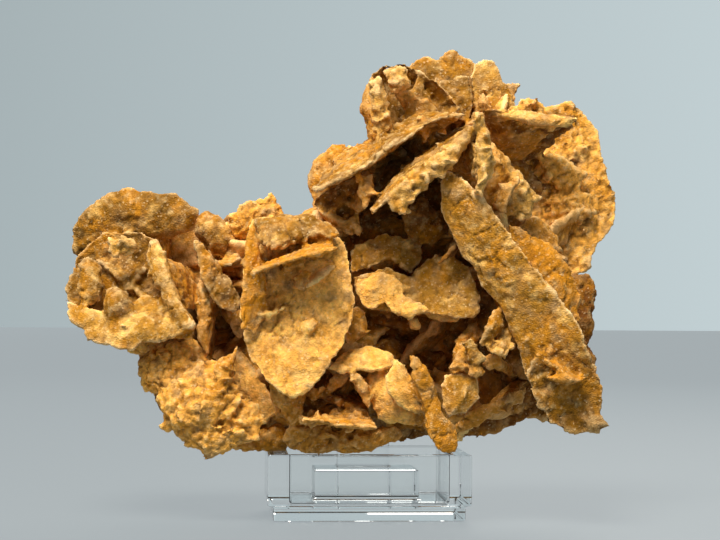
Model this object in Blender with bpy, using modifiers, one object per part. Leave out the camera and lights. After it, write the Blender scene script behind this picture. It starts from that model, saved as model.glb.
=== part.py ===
"""A gypsum desert rose on a clear moulded display stand.

Units are metres, +Z is up and -Y is the front. The origin is the middle of the stand's underside.
The crystals' outlines are millimetres in a front view, (x, z), as seen from VIEW_DISTANCE at VIEW_HEIGHT.
"""

import math
import random

import bmesh
import bpy
from mathutils import Matrix, Vector

MM = 0.001

# Front view in which the crystals are drawn
VIEW_DISTANCE = 520.0
VIEW_HEIGHT = 54.0

# Display stand, one clear moulding
FOOT_SIZE = (50.6, 35.6, 4.6)
RING_SIZE = (53.6, 38.0)
RING_TOP = 17.5
SIDE_WALL = 5.7
END_WALL = 2.6
POST_LOW = (28.0, 18.0, 12.6)
POST_LOW_BACK = 3.0
POST_HIGH = (14.2, 5.0, 24.0)
POST_BACK = 9.5
POST_ROOT = 2.0
OVERLAP = 0.6
STAND_EDGE = 0.7
STAND_YAW = math.radians(4.0)
REST_GAP = 0.3
WIDE_GAP = 1.2

# Crystal habit
RIM_THICKNESS = 1.3
WEB_THICKNESS = 4.2
WEBBED_UNDER = 6
WEB_SPANS = (0.56, 0.45)
WEB_REACH = 0.8
WEB_TAPER = 0.4
WEB_BEND = 0.55
WEB_LEAST_BACK = 6
WEB_DEPTH_WEIGHT = 0.4
REAR_SEED = 7
REAR_CORNERS = 11
REAR_RISE = (-0.4, 0.97)
REAR_SEAT = 0.7
REAR_REACH = (0.93, 1.36)
REAR_HALF = (1.0, 1.5)
REAR_RAGGED = (0.86, 1.08)
REAR_THICKNESS = (2.8, 4.2)
REAR_TURN_SPREAD = 0.5
HIDE_MARGIN = 3
DRAW_IN = 0.86
DRAW_STEPS = 14
LEDGE_SHARE = 0.72
GRAIN = 1.1
FACET_SHARE = 0.0415
MEND_ROUNDS = 4


def face(rim, at, lean=(0.0, 0.0)):
    """Loop of (x, z, y) points: an outline whose middle lies at depth `at`, leaning in x and in z."""
    mid_x = sum(p[0] for p in rim) / len(rim)
    mid_z = sum(p[1] for p in rim) / len(rim)
    return [(x, z, at + lean[0] * (x - mid_x) + lean[1] * (z - mid_z)) for x, z in rim]


def ledge(line, front, back):
    """Loop of a plate seen on its edge: the visible line, and the same line narrowed and moved back."""
    mid_x = sum(p[0] for p in line) / len(line)
    mid_z = sum(p[1] for p in line) / len(line)
    dx, dy, dz = back
    far = [
        (mid_x + (x - mid_x) * LEDGE_SHARE + dx, mid_z + (z - mid_z) * LEDGE_SHARE + dz, front + dy)
        for x, z in reversed(line)
    ]
    return [(x, z, front) for x, z in line] + far


# Each crystal: name, loop, thickness at the middle, then how far its middle is dished back
CRYSTALS = [
    # Left lobe
    ("left_hood", face([(-80, 71), (-80.5, 76), (-78, 81), (-74.5, 84.5), (-70, 87), (-64, 88.3), (-57, 87.2),
                        (-52, 87), (-48, 85), (-45, 81.5), (-47, 77), (-54, 74), (-60, 68), (-68, 64), (-76, 66)],
                       -10, (0, -0.3)), 8, 0),
    ("left_face", face([(-82, 60), (-80.5, 66), (-77.5, 71.5), (-72, 76.5), (-65, 76.5), (-58, 75.5), (-55, 70),
                        (-52.5, 63), (-50, 57), (-46, 51), (-47, 47), (-56, 47.5), (-66, 50), (-77, 52), (-81, 55)],
                       -19, (-0.15, 0.25)), 4, 4),
    ("left_knob_high", face([(-78, 68), (-76, 69.5), (-73, 68.5), (-71.5, 65), (-71, 61), (-72, 57), (-77, 56),
                             (-79, 61)], -20, (0.1, 0.2)), 7, 0),
    ("left_knob_low", face([(-71, 60.5), (-68, 62), (-65, 60), (-63, 57), (-64.5, 53.5), (-70, 52), (-72, 56)],
                           -24, (0, 0.2)), 6, 0),
    ("left_knob_pale", face([(-70, 74.5), (-66, 75.3), (-62.5, 74), (-61, 71.5), (-65, 70.5), (-68.5, 69.5),
                             (-70.3, 71.5)], -23, (0, 0.2)), 6, 0),
    ("left_rib", face([(-59, 74), (-57, 75), (-54.5, 70), (-52, 63), (-50, 57), (-46, 51), (-49, 49), (-54, 55),
                       (-58, 62), (-60, 69)], -23, (-0.1, 0.2)), 5, 0),
    ("left_lip", face([(-81.3, 57.5), (-81, 52), (-77.5, 50), (-76, 47), (-70, 44.8), (-64, 44), (-60, 46),
                       (-55, 46), (-50, 48.5), (-46, 50.5), (-50, 54), (-55, 57.5), (-60, 60), (-64, 56.5),
                       (-70, 54.5), (-77, 55)], -24, (-0.05, 0.5)), 5, 0),
    ("left_under", face([(-70, 45.5), (-62, 42.5), (-57, 43), (-52, 47), (-56, 51), (-66, 50)], -10, (0, 0)), 6, 0),
    ("saddle_knob", face([(-47, 80), (-44.5, 82.3), (-41.5, 81.5), (-38, 79.5), (-35.5, 77), (-34.5, 73),
                          (-38, 70), (-43, 70.5), (-47, 75)], -3, (0, 0.2)), 9, 0),
    ("left_fin", face([(-47.5, 74.8), (-44.5, 73), (-41.5, 70), (-38.5, 65.5), (-35.5, 61.5), (-34, 58), (-34, 55),
                       (-36, 54.3), (-39.5, 55.5), (-42, 58.5), (-44, 61.5), (-45.3, 66)], -22, (0.5, 0.2)), 3, 0),
    ("left_fin_root", face([(-45.5, 64), (-43.5, 62), (-42, 58), (-41.5, 50), (-42, 46.5), (-43, 43), (-45, 46),
                            (-46, 50), (-46, 57)], -20, (0.5, 0)), 4, 0),
    ("fin_shelf", ledge([(-41, 67.5), (-37.5, 67.3), (-34, 69.5)], -20, (0, 18, -1)), 2.6, 0),
    ("fin_low", face([(-38.5, 55), (-34, 56), (-33, 50), (-34, 47), (-36, 49), (-37.5, 52)], -14, (0.2, 0)), 3, 0),
    ("hollow_chip_high", face([(-54, 71), (-49, 69), (-45.5, 66), (-47, 63), (-52, 65)], 0, (0.3, 0.3)), 4, 0),
    ("hollow_chip_low", face([(-53, 60), (-48, 62.5), (-44.5, 58), (-48, 54)], -2, (-0.4, 0.2)), 4, 0),
    # Lower left mass, stacked and worn
    ("foot_upper", face([(-62, 41), (-58.5, 44.5), (-53, 47), (-47, 47.5), (-43, 43.5), (-44, 39), (-49, 35),
                         (-55, 32), (-60.5, 32.5), (-61.8, 37)], -17, (-0.2, 0.45)), 10, 0),
    ("foot_middle", face([(-57, 36), (-50, 40), (-44, 42.3), (-40, 41.5), (-36, 37), (-33.5, 32), (-36, 27),
                          (-42, 23), (-50, 23), (-55, 26), (-56.8, 30)], -22, (-0.1, 0.4)), 10, 0),
    ("foot_lower", face([(-55.5, 23.8), (-54, 28), (-47, 30), (-39, 29), (-33, 31), (-29, 29.5), (-27, 25),
                         (-30, 20), (-37, 17), (-42, 14.8), (-46, 16.8), (-50, 20.3)], -21, (-0.1, 0.3)), 10, 0),
    ("foot_streak", face([(-41.5, 41), (-37, 43), (-34.5, 46), (-35.5, 40), (-37, 35), (-41, 31), (-41, 36)],
                         -24, (0.4, 0.2)), 3, 0),
    ("foot_base", face([(-38, 18), (-31, 23), (-24, 25), (-19, 21), (-21.5, 17.2), (-25, 16.6), (-31, 16.6)],
                       -12, (0, -0.1)), 8, 0),
    ("foot_plate", face([(-35.5, 46), (-30, 39), (-26, 33), (-23, 28), (-27, 24), (-32, 28), (-36, 36)],
                        -14, (-0.4, 0)), 4, 0),
    # Central tongue and what grows on it
    ("tongue", face([(-31, 80), (-33, 74), (-33.8, 66), (-34, 58), (-34, 50), (-33, 45.5), (-30.5, 40), (-25, 34),
                     (-20, 31.4), (-15.8, 32.5), (-11, 38), (-6, 46), (-3.5, 53), (-3, 59), (-4.2, 67),
                     (-5.5, 74.5), (-12, 77), (-22, 80)], -30, (0.05, 0.22)), 3.4, 1.5),
    ("tongue_strip", face([(-31, 80), (-33, 74), (-34, 60), (-34, 50), (-30.5, 48), (-26.5, 55), (-27.5, 64),
                           (-29.5, 72)], -33, (0.7, 0.1)), 3, 0),
    ("tongue_shelf", ledge([(-31.5, 64.7), (-27, 66.5), (-22, 68.5), (-17, 70), (-12, 71), (-8, 72)],
                           -41, (1, 20, 3.5)), 2.8, 0),
    ("shelf_splinter", face([(-20.8, 64.5), (-18, 66.5), (-14.5, 66), (-17.3, 61.5), (-16, 59.5), (-18.8, 61.3)],
                            -34, (0.3, 0.3)), 2, 0),
    ("tongue_crust", face([(-31, 79.5), (-27, 80.5), (-22, 81.3), (-16, 81.6), (-12, 80.3), (-8.8, 78), (-7, 75.8),
                           (-10, 74.6), (-13, 75.6), (-17, 74), (-21, 72.5), (-25, 71.5), (-29, 73)],
                          -29, (0, 0.9)), 5, 0),
    ("amber_dish", face([(-20, 73), (-16, 75.5), (-10, 75.5), (-8, 73), (-12, 70.5), (-18, 70)], -27, (0, 0)), 3, 0),
    ("tongue_knob", face([(-19, 50), (-17.5, 53.3), (-14, 53.3), (-12.8, 51), (-15, 47.5), (-17, 46.2)],
                         -31.5, (0, 0.2)), 4, 0),
    ("tongue_ridge", face([(-29, 54), (-25, 56.2), (-21.5, 56.5), (-24, 53.5), (-28, 51.8)], -32, (0.3, 0)), 4, 0),
    ("crest_middle", face([(-38, 78), (-35.5, 82), (-33, 84.3), (-30.5, 85.6), (-28, 85.3), (-25.6, 87.6),
                           (-23.3, 84.8), (-22, 81), (-23, 76), (-30, 74), (-36, 75)], -5, (0, -0.1)), 7, 0),
    ("tongue_behind", face([(-5, 46.5), (-2.5, 46), (-0.5, 48), (0.5, 51), (-0.3, 54.5), (-2.5, 56.3), (-7, 55),
                            (-8, 50)], -20, (0.2, 0)), 4, 0),
    ("tongue_root", face([(-27, 37), (-20, 35), (-15, 35), (-16.5, 28.5), (-17.5, 24), (-20, 22), (-22, 26),
                          (-25.5, 30)], -22, (0.2, -0.2)), 4, 0),
    # Split plates in the middle
    ("flake_upper", face([(-4.3, 71), (-3, 73.2), (0, 74.7), (5, 76.2), (10, 75.5), (15.5, 73.5), (15.5, 70),
                          (13.3, 67), (11.8, 65.3), (9.8, 66.3), (8, 67.8), (6.3, 69), (3, 67.7), (0, 66.2),
                          (-3.8, 65.6)], -14, (0.1, 0.3)), 2.4, 0),
    ("flake_lower", face([(-3.8, 64.6), (0, 65.3), (5, 67.7), (9, 65.5), (12, 64.6), (14, 67), (17, 70.3),
                          (20, 69.8), (24, 71), (28, 67), (31, 60), (31.5, 55), (29, 53.2), (26, 52.7),
                          (22, 53.6), (15, 54.6), (12, 52.4), (9, 54), (6, 55), (2, 55.4), (-0.5, 56), (-3, 60)],
                         -20, (-0.05, 0.3)), 2.4, 0),
    ("flake_peel", face([(-3, 63.8), (3, 66), (8, 65), (11.5, 62), (9.5, 59), (5, 57.3), (2.5, 55.3), (0, 55.8),
                         (-2.8, 59.8)], -22.4, (0.05, 0.25)), 2, 0),
    ("flake_tip", face([(5, 58), (10, 59.5), (15, 57.5), (17.5, 55.5), (14, 54), (12, 52.3), (9, 53.8), (6, 55)],
                       -24, (0, 0.3)), 1.8, 0),
    ("flake_lip", face([(14, 55.5), (20, 56), (27, 54.5), (25, 52.2), (20.5, 51.6), (18, 53)],
                       -17.5, (0, 0.3)), 2.4, 0),
    ("flake_nub", face([(11, 54), (14.6, 54), (14.9, 51), (13, 49.9), (11.3, 51)], -17, (0, 0)), 3, 0),
    ("strut_chip", face([(19.4, 68), (22, 72), (25.3, 75.3), (24.8, 72.6), (21.8, 68.6)], -25, (0.2, 0)), 2.4, 0),
    ("shade_blade", face([(9, 80), (13, 87), (16, 86), (18.5, 82.5), (20.5, 79), (21.5, 75.5), (18, 73), (13, 74),
                          (10, 77)], -12, (0.3, 0.1)), 4, 0),
    ("shade_wall", face([(-6, 79), (2, 82), (10, 80), (17, 77), (16, 72), (5, 73), (-4, 73)], -5, (0, 0)), 5, 0),
    # Slanting plates at the top left, seen on their edges
    ("low_diagonal", ledge([(1, 81.5), (5, 85), (9, 88.8), (14, 93.4), (19, 97.2), (24, 100.8), (30.5, 106)],
                           -35, (-1, 28, 2)), 6.5, 0),
    ("low_diagonal_crust", face([(6, 84.5), (9, 90), (14, 95), (19.5, 99), (25, 103), (29.5, 104.5), (27, 99),
                                 (20.5, 93), (16, 88.3), (13, 85.3), (10.5, 84), (8.3, 80.3)],
                                -34, (0.1, -0.1)), 4, 0),
    ("high_diagonal", ledge([(-14.5, 87.2), (-9, 90.3), (-3, 93), (1, 95.2), (6, 99.2), (11, 102.2), (16, 106),
                             (21, 108.4), (27, 109)], -30, (-2, 32, 3)), 3.6, 0),
    ("high_underside", face([(-14, 86), (-9, 89), (-3, 92), (1, 94), (2, 88), (0, 83), (-4, 80), (-9, 79.5),
                             (-12.5, 81.5), (-15, 84)], -17, (0, -0.4)), 4, 3),
    ("under_knobs", face([(-13, 82), (-9, 82), (-6, 80), (-2, 81), (-1.5, 77.5), (-5, 76), (-9, 77)],
                         -16, (0, 0)), 6, 0),
    ("under_curtain", face([(-2, 92), (1.5, 93), (2, 87), (0.5, 84), (-1, 82.6), (-2.3, 86)], -25, (0.4, 0)), 3, 0),
    ("upper_slip", ledge([(-9.5, 92.6), (-5, 95.2), (0, 97.9), (3, 99)], -22, (-1, 22, 2)), 2.4, 0),
    ("left_wing", face([(-16, 92.5), (-14.5, 96.5), (-11.5, 98.6), (-9.5, 100.6), (-7, 101), (-4.2, 100),
                        (-2, 98.3), (1, 98), (3, 92), (-2, 86), (-9, 81), (-14.5, 82), (-15.8, 88)],
                       -2, (0, 0.1)), 6, 0),
    ("chin", face([(-20, 80.5), (-15.5, 83.3), (-11, 82), (-11, 76), (-18, 76)], -8, (0, 0)), 6, 0),
    ("column", face([(0.8, 118), (3, 119.3), (4.5, 115.5), (5.5, 110), (6.3, 105), (7.5, 101.8), (5, 99),
                     (3, 99), (2.3, 104), (1.2, 110)], -10, (0.9, 0)), 5, 0),
    ("column_back", face([(1, 119), (-1, 115.5), (-1.9, 112), (-1, 108), (0.3, 105), (0.5, 100), (4, 98),
                          (6, 108), (4, 117)], 0, (0.5, 0)), 6, 0),
    ("bowl", face([(0.6, 120), (3.5, 122), (7, 122.4), (10, 123), (13, 121.3), (16, 119.6), (20, 117),
                   (23, 113.8), (25.5, 110.5), (22, 106), (13, 102), (7, 101), (4, 108), (2.5, 115)],
                  2, (0, 0)), 4, 6),
    ("bowl_crust", face([(4.5, 120.5), (8, 122.3), (11, 120), (12.5, 117), (10, 115.2), (8, 114.4), (5.5, 116)],
                        -2, (0, 0.3)), 6, 0),
    ("bowl_nib", face([(12.8, 107.8), (15, 108.4), (18.5, 108), (18, 104.5), (14, 105.5)], -15, (0.4, 0)), 2.6, 0),
    ("bowl_nib_low", face([(14, 105), (17, 106), (17.5, 102.6), (14.8, 101.9)], -24, (0, 0)), 3, 0),
    ("crest_back", face([(10, 120), (12, 122.5), (14.5, 124), (16.5, 125), (18.5, 124), (20.5, 125), (22, 126.6),
                         (24.5, 126.4), (26, 124.3), (28.5, 123.6), (30.5, 123), (30, 118), (30, 112), (27, 104),
                         (18, 102), (12, 110)], 14, (0, 0.2)), 4, 0),
    ("crest_front", face([(19, 118), (24, 119), (28, 119.8), (27.5, 117.2), (29, 115.5), (29.3, 110.5), (27, 106),
                          (21, 110)], 8, (0, 0.2)), 3, 0),
    ("crest_right", face([(28.5, 119), (29.5, 122.5), (32, 124), (34.3, 124), (36, 121.3), (36.8, 118.3),
                          (38.6, 117.3), (40, 115), (40.5, 112.5), (41, 110), (37, 104), (30, 103), (28.8, 111)],
                         11, (0.2, 0.1)), 3.6, 0),
    ("crest_fin", face([(37, 117), (41.9, 117.3), (40.6, 114.6), (40.5, 110), (36, 109)], 16, (0, 0)), 2.6, 0),
    ("crest_chip", face([(30.2, 112.5), (31.5, 115.3), (33, 113), (34.5, 110), (31, 109)], 3, (0, 0)), 4, 0),
    # Upper right, a broad crystal facing the front under a shelf
    ("right_disc", face([(34, 104), (38, 111), (43, 113.4), (46, 112.6), (50, 111.6), (55, 112), (57.5, 111.4),
                         (60, 109), (63, 105), (64.2, 100), (65, 94.5), (66.6, 90), (68.2, 86), (68.2, 82),
                         (67, 78), (64, 74.8), (62, 70.5), (60, 66.3), (56, 64), (51, 68), (45, 76), (38, 86),
                         (33, 95)], 6, (0.15, 0.12)), 5, 2),
    ("right_shelf", face([(31, 110.5), (36, 110.2), (42, 110), (48, 108.9), (54, 108.9), (58, 108), (55.3, 105),
                          (50.5, 100.8), (46.5, 97.3), (40.5, 97), (36, 99.5), (33, 104)], -6, (0, -1.3)), 3, 0),
    ("shelf_crust", face([(33, 110.3), (42, 110), (50, 108.8), (57.8, 108), (55.5, 105.3), (50, 105.8),
                          (46, 105.5), (40, 107.5), (35, 108)], -12, (0.05, -0.4)), 3.4, 0),
    ("disc_crust_high", face([(46, 97), (52, 98.5), (56, 96), (60.5, 93), (58, 88.5), (53, 87.5), (49, 90)],
                             3, (0.1, 0)), 6, 0),
    ("disc_crust_low", face([(49, 86), (55, 88), (61, 87.5), (62.5, 82), (58, 78.5), (51, 79)], 3, (0.1, 0)), 6, 0),
    ("spine", face([(28.8, 110), (31.3, 109.5), (32.6, 105), (33.6, 101.5), (33.2, 99), (34.2, 95.5), (33.6, 92),
                    (32, 89), (31.3, 85.5), (30, 89), (30.8, 94), (29.8, 99), (29.5, 104)], -36, (0.6, 0)), 4, 0),
    ("spine_crust", face([(28, 101.5), (31, 101), (32.4, 96), (31.3, 91), (28.8, 91.2), (29.4, 96)],
                         -32, (0.3, 0)), 5, 0),
    ("second_ridge", face([(33, 101.6), (36, 99.8), (39, 96.5), (41, 93.6), (39, 91), (36, 88), (33, 86),
                           (32, 93)], -22, (0.4, 0.1)), 4, 0),
    ("branch_crust", face([(38, 93.3), (41, 93.8), (43.5, 90.8), (46.8, 86.8), (47, 85), (45.4, 83.2),
                           (45.8, 81), (43, 79.5), (40, 80.5), (38, 83), (37, 88)], -21, (0.2, 0.1)), 6, 0),
    ("branch_arm", face([(41.5, 92.6), (39.5, 91.2), (36.8, 89.5), (35.5, 86.5), (34, 84.5), (36, 81.5),
                         (38, 81), (38.2, 84), (39.5, 88), (42, 90)], -27, (0.2, 0)), 4, 0),
    ("third_ridge", face([(44, 81.2), (47, 81), (50, 78.5), (52, 75.5), (53.5, 71), (50, 70), (45, 73),
                          (40, 78)], -13, (0.3, 0)), 4, 0),
    ("amber_fan", face([(38, 79.5), (42, 78), (46, 76), (50, 73.8), (53, 70.5), (56, 66), (57.6, 62), (58.7, 58),
                        (57.4, 55.5), (58.3, 53), (55, 51), (49, 56), (43, 65), (38, 73)], -22, (0.3, 0.1)), 4, 0),
    ("rear_fan", face([(56, 66), (60, 66.2), (62.4, 63), (62.6, 59), (61.2, 56), (62.2, 50.5), (61.3, 48),
                       (59.5, 45), (54, 46), (52, 56)], 0, (0.1, 0)), 5, 0),
    # Great slanting blade at the right and its broken foot
    ("great_blade", face([(19.5, 91), (22.5, 93.5), (27, 91), (30, 88.2), (35, 82), (41, 74), (46, 67), (51, 61),
                          (54, 57.5), (57, 53.2), (59, 49), (60, 45.5), (56, 41), (50, 37), (45, 34.5), (43, 39),
                          (41, 46), (39, 50), (36.5, 56), (31, 62), (28.5, 68), (26, 70), (24, 74.5), (21, 80),
                          (19.8, 85)], -31, (-0.3, -0.22)), 3.6, 0),
    ("blade_foot", face([(46, 44), (50, 45.5), (55, 46.5), (60, 45.8), (62, 42), (64, 37), (64.6, 33),
                         (64, 28.5), (62.5, 26.5), (60, 23), (57, 21.5), (54, 22.5), (50, 25.5), (47, 29),
                         (44.5, 34), (43.5, 39)], -31, (-0.1, -0.1)), 4.4, 2),
    ("blade_toe", face([(60, 29.5), (63, 28.6), (66.2, 24.3), (63.5, 22), (60, 22.8), (58, 26)],
                       -31, (-0.1, 0)), 4.6, 0),
    ("pocket_plate_high", ledge([(48, 42.3), (52, 40), (56.5, 36.3)], -37, (1, 9, 1)), 2, 0),
    ("pocket_plate_low", ledge([(48.5, 37.4), (53, 37), (57, 36), (60, 37.2)], -37, (0, 9, 0)), 2.4, 0),
    # Low middle, with the arch, the spike and the small petals
    ("arch_top", face([(-10, 39.5), (-7, 43.5), (-5, 44.8), (0, 45.2), (4.5, 44.7), (8, 42.5), (9.5, 41),
                       (6, 39.5), (2, 38.5), (-3, 39), (-6.5, 38.3)], -26, (0, 1.1)), 3, 0),
    ("arch_left", face([(-16.5, 32), (-12, 34.5), (-8, 37.5), (-4.5, 39), (-4, 36.8), (-8, 33.5), (-11.5, 31),
                        (-15, 30)], -22, (-0.3, 0)), 3, 0),
    ("arch_right", face([(-5, 39.5), (-2, 38.5), (0.8, 35.5), (2, 32), (0.8, 28.3), (-1.5, 31.5), (-3, 35)],
                        -28, (0.2, 0)), 3, 0),
    ("tan_face", face([(5, 37.5), (7.5, 41.5), (10.5, 41.3), (12, 37), (14, 32), (15.5, 28), (14, 27), (11, 28),
                       (8, 30), (6, 33)], -31, (0.15, 0.15)), 3.6, 0),
    ("crust_pier", face([(0, 37), (3, 40), (6, 38.5), (6.5, 34), (8.5, 30.5), (12, 28.5), (15.5, 27.5),
                         (15.5, 25), (12, 23.8), (8, 24.2), (4, 25.3), (1.8, 28), (1.3, 32)],
                        -25, (0, 0.1)), 8, 0),
    ("low_shelf", ledge([(-17.5, 25.3), (-13, 25.6), (-8, 24.3), (-3, 24), (3.5, 23.6)], -36, (0, 24, 3)), 2.6, 0),
    ("inner_shelf", ledge([(-11, 31), (-6, 29.5), (-3, 28), (1, 27)], -24, (0, 14, 3)), 2, 0),
    ("bottom_crust", face([(-21, 24), (-12, 24), (-5, 23), (2, 22.6), (8, 24), (10.5, 22), (9, 20), (6.5, 19.3),
                           (3.5, 18.4), (0, 17.3), (-4, 16.8), (-10, 16.6), (-16, 16.6), (-20, 17.2),
                           (-22.5, 20)], -20, (0, -0.4)), 6, 0),
    ("spike", face([(11.8, 43.5), (13.3, 43.3), (15.5, 41.5), (17.5, 37.5), (19.3, 33.5), (20.7, 29.5),
                    (21.7, 26), (24.2, 24.3), (24.8, 21), (24.8, 17.3), (22.8, 16.6), (21, 17), (18.7, 18.8),
                    (17, 21.5), (16, 25), (15.5, 29), (14, 34), (12.3, 37.5)], -37, (0.4, 0.05)), 4.4, 0),
    ("tan_wedge", face([(20, 35), (21.5, 38), (25, 38.7), (30, 37.5), (31, 34.5), (31.6, 31.6), (28.5, 28.7),
                        (25, 27), (22, 26), (20.8, 30)], -28, (0.1, 0.1)), 4, 0),
    ("petal_low", face([(22.5, 39), (24.5, 44.5), (27.5, 47), (28.7, 43), (27.5, 38)], -28, (0.4, 0)), 3, 0),
    ("petal_middle", face([(26, 46.5), (29, 47.5), (31, 44.6), (32.8, 42), (30, 40), (27.5, 41.5)],
                          -31, (0.3, 0.1)), 2.6, 0),
    ("petal_right", face([(28, 42), (31, 42), (32.8, 38.8), (30, 36.8), (27.5, 38)], -30, (0.2, 0.2)), 3, 0),
    ("petal_tall", face([(30, 45.5), (32, 50), (33.5, 54), (36.5, 57.5), (37.6, 53.5), (35.8, 49),
                         (33, 45)], -29, (0.5, 0)), 3, 0),
    ("petal_back", face([(23, 44), (26, 50), (30, 53), (32, 49), (28, 43)], -18, (0.2, 0.2)), 3, 0),
    ("chip_shelf", face([(33, 45.4), (36, 46.9), (40.8, 46.4), (39, 44.4), (36, 43.4), (34, 44.1)],
                        -29, (0, 1.4)), 2.2, 0),
    ("chip_low", face([(31.5, 43), (34, 44), (37, 43.8), (36.5, 40.5), (34, 39.4), (31.5, 40)],
                      -25, (0, 0.3)), 3.4, 0),
    ("undercroft", face([(20, 21.3), (24, 25), (31, 29.5), (38, 33), (44, 36.5), (46.5, 33), (47.5, 28),
                         (44, 26.3), (41, 25), (38, 22.4), (35, 21.8), (30, 21.3), (26, 21)],
                        2, (0, 0.3)), 5, 0),
    ("undercroft_rim", face([(22, 22.5), (28, 28), (32, 30), (38, 32), (44, 35), (43, 31), (37, 28.3), (33, 26),
                             (31, 24), (26, 22.3)], -14, (0, -0.6)), 3, 0),
]

# Intergrown middle of each lobe: centre (x, y, z) and radii, in the same millimetres as the stand
CORES = {
    "core_left": ((-63.0, 1.0, 66.0), (13.0, 14.0, 15.0)),
    "core_foot": ((-44.0, 0.0, 34.0), (13.0, 14.0, 12.0)),
    "core_middle": ((-20.0, 5.0, 56.0), (19.0, 16.0, 19.0)),
    "core_neck": ((-42.0, 6.0, 60.0), (13.0, 11.0, 13.0)),
    "core_centre": ((12.0, 12.0, 62.0), (19.0, 14.0, 20.0)),
    "core_base": ((2.0, 6.0, 34.0), (29.0, 15.0, 14.0)),
    "core_right": ((38.0, 6.0, 60.0), (17.0, 15.0, 24.0)),
    "core_high": ((30.0, 10.0, 90.0), (22.0, 13.0, 15.0)),
    "core_top": ((8.0, 8.0, 92.0), (12.0, 14.0, 13.0)),
    "core_tongue": ((-20.0, -12.0, 60.0), (10.0, 13.0, 15.0)),
    "core_blade_high": ((30.0, -13.0, 79.0), (7.0, 14.0, 9.0)),
    "core_blade_middle": ((42.0, -13.0, 60.0), (8.0, 14.0, 11.0)),
    "core_blade_low": ((52.5, -12.0, 41.0), (8.0, 14.0, 10.0)),
    "core_ridge": ((22.0, -10.0, 97.0), (7.0, 13.0, 6.0)),
    "core_hollow": ((26.0, 14.0, 45.0), (14.0, 11.0, 12.0)),
    "core_gap": ((-36.0, 3.0, 71.0), (6.0, 8.0, 8.0)),
    "core_notch": ((-7.0, 5.0, 77.0), (7.0, 9.0, 7.0)),
    "core_corner": ((43.0, 4.0, 37.0), (7.0, 8.0, 6.0)),
    "core_sole": ((-27.0, 2.0, 25.0), (7.0, 8.0, 6.0)),
}
CORE_RINGS = (12, 7)
REAR_PER_CORE = {
    "core_left": 12, "core_foot": 9, "core_middle": 10, "core_neck": 6, "core_centre": 8, "core_base": 10,
    "core_right": 12, "core_high": 11, "core_top": 7, "core_tongue": 5, "core_blade_high": 4,
    "core_blade_middle": 6, "core_blade_low": 7, "core_ridge": 4,
}


def seen(x, z, y):
    """Row-frame point, in millimetres, of what the front view shows at (x, z) when it lies at depth y."""
    grow = (VIEW_DISTANCE + y) / VIEW_DISTANCE
    return Vector((x * grow, y, VIEW_HEIGHT + (z - VIEW_HEIGHT) * grow))


def in_view(point):
    """(x, z) of a row-frame point in the front view."""
    grow = (VIEW_DISTANCE + point.y) / VIEW_DISTANCE
    return point.x / grow, VIEW_HEIGHT + (point.z - VIEW_HEIGHT) / grow


def encloses(rim, x, z):
    """True if the point (x, z) lies inside the closed outline."""
    inside = False
    for (x1, z1, _), (x2, z2, _) in zip(rim, rim[1:] + rim[:1]):
        if (z1 > z) != (z2 > z) and x < x1 + (z - z1) * (x2 - x1) / (z2 - z1):
            inside = not inside
    return inside


def outline_of(loop):
    """An outline with its extent in the front view and its mean depth."""
    across, up, depths = zip(*loop)
    return loop, min(across), max(across), min(up), max(up), sum(depths) / len(depths)


OUTLINES = [outline_of(loop) for _, loop, _, _ in CRYSTALS]


def hidden(point):
    """True if a front crystal hides the point in the front view."""
    x, z = in_view(point)
    for loop, left, right, low, high, depth in OUTLINES:
        if left < x < right and low < z < high and depth < point.y + HIDE_MARGIN and encloses(loop, x, z):
            return True
    return False


def behind_outline(point, middle):
    """The point, drawn towards the middle until some front crystal hides it in the front view."""
    for _ in range(DRAW_STEPS):
        if hidden(point):
            break
        point = middle + (point - middle) * DRAW_IN
    return point


def loop_normal(points, middle):
    """Unit normal of a loop of points."""
    total = Vector((0, 0, 0))
    for a, b in zip(points, points[1:] + points[:1]):
        total += (a - middle).cross(b - middle)
    return total.normalized()


def rear_crystals():
    """Loops of the crystals at the back and sides, which stand out from each lobe's middle."""
    chance = random.Random(REAR_SEED)
    found = []
    for core, count in REAR_PER_CORE.items():
        middle, radii = Vector(CORES[core][0]), Vector(CORES[core][1])
        for i in range(count):
            turn = 2 * math.pi * (i + REAR_TURN_SPREAD * chance.random()) / count
            rise = chance.uniform(*REAR_RISE)
            around = math.sqrt(1 - rise * rise)
            out = Vector((around * math.cos(turn), rise, around * math.sin(turn)))
            seat = middle + Vector([out[k] * radii[k] for k in range(3)]) * REAR_SEAT
            side = out.orthogonal().normalized()
            side.rotate(Matrix.Rotation(chance.uniform(0, math.pi), 3, out))
            size = sum(radii) / 3
            reach, half = size * chance.uniform(*REAR_REACH), size * chance.uniform(*REAR_HALF)
            points = []
            for j in range(REAR_CORNERS):
                angle = 2 * math.pi * j / REAR_CORNERS
                ragged = chance.uniform(*REAR_RAGGED)
                point = seat + (out * reach * math.cos(angle) + side * half * math.sin(angle)) * ragged
                points.append(behind_outline(point, middle))
            found.append((points, chance.uniform(*REAR_THICKNESS)))
    return found


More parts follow.
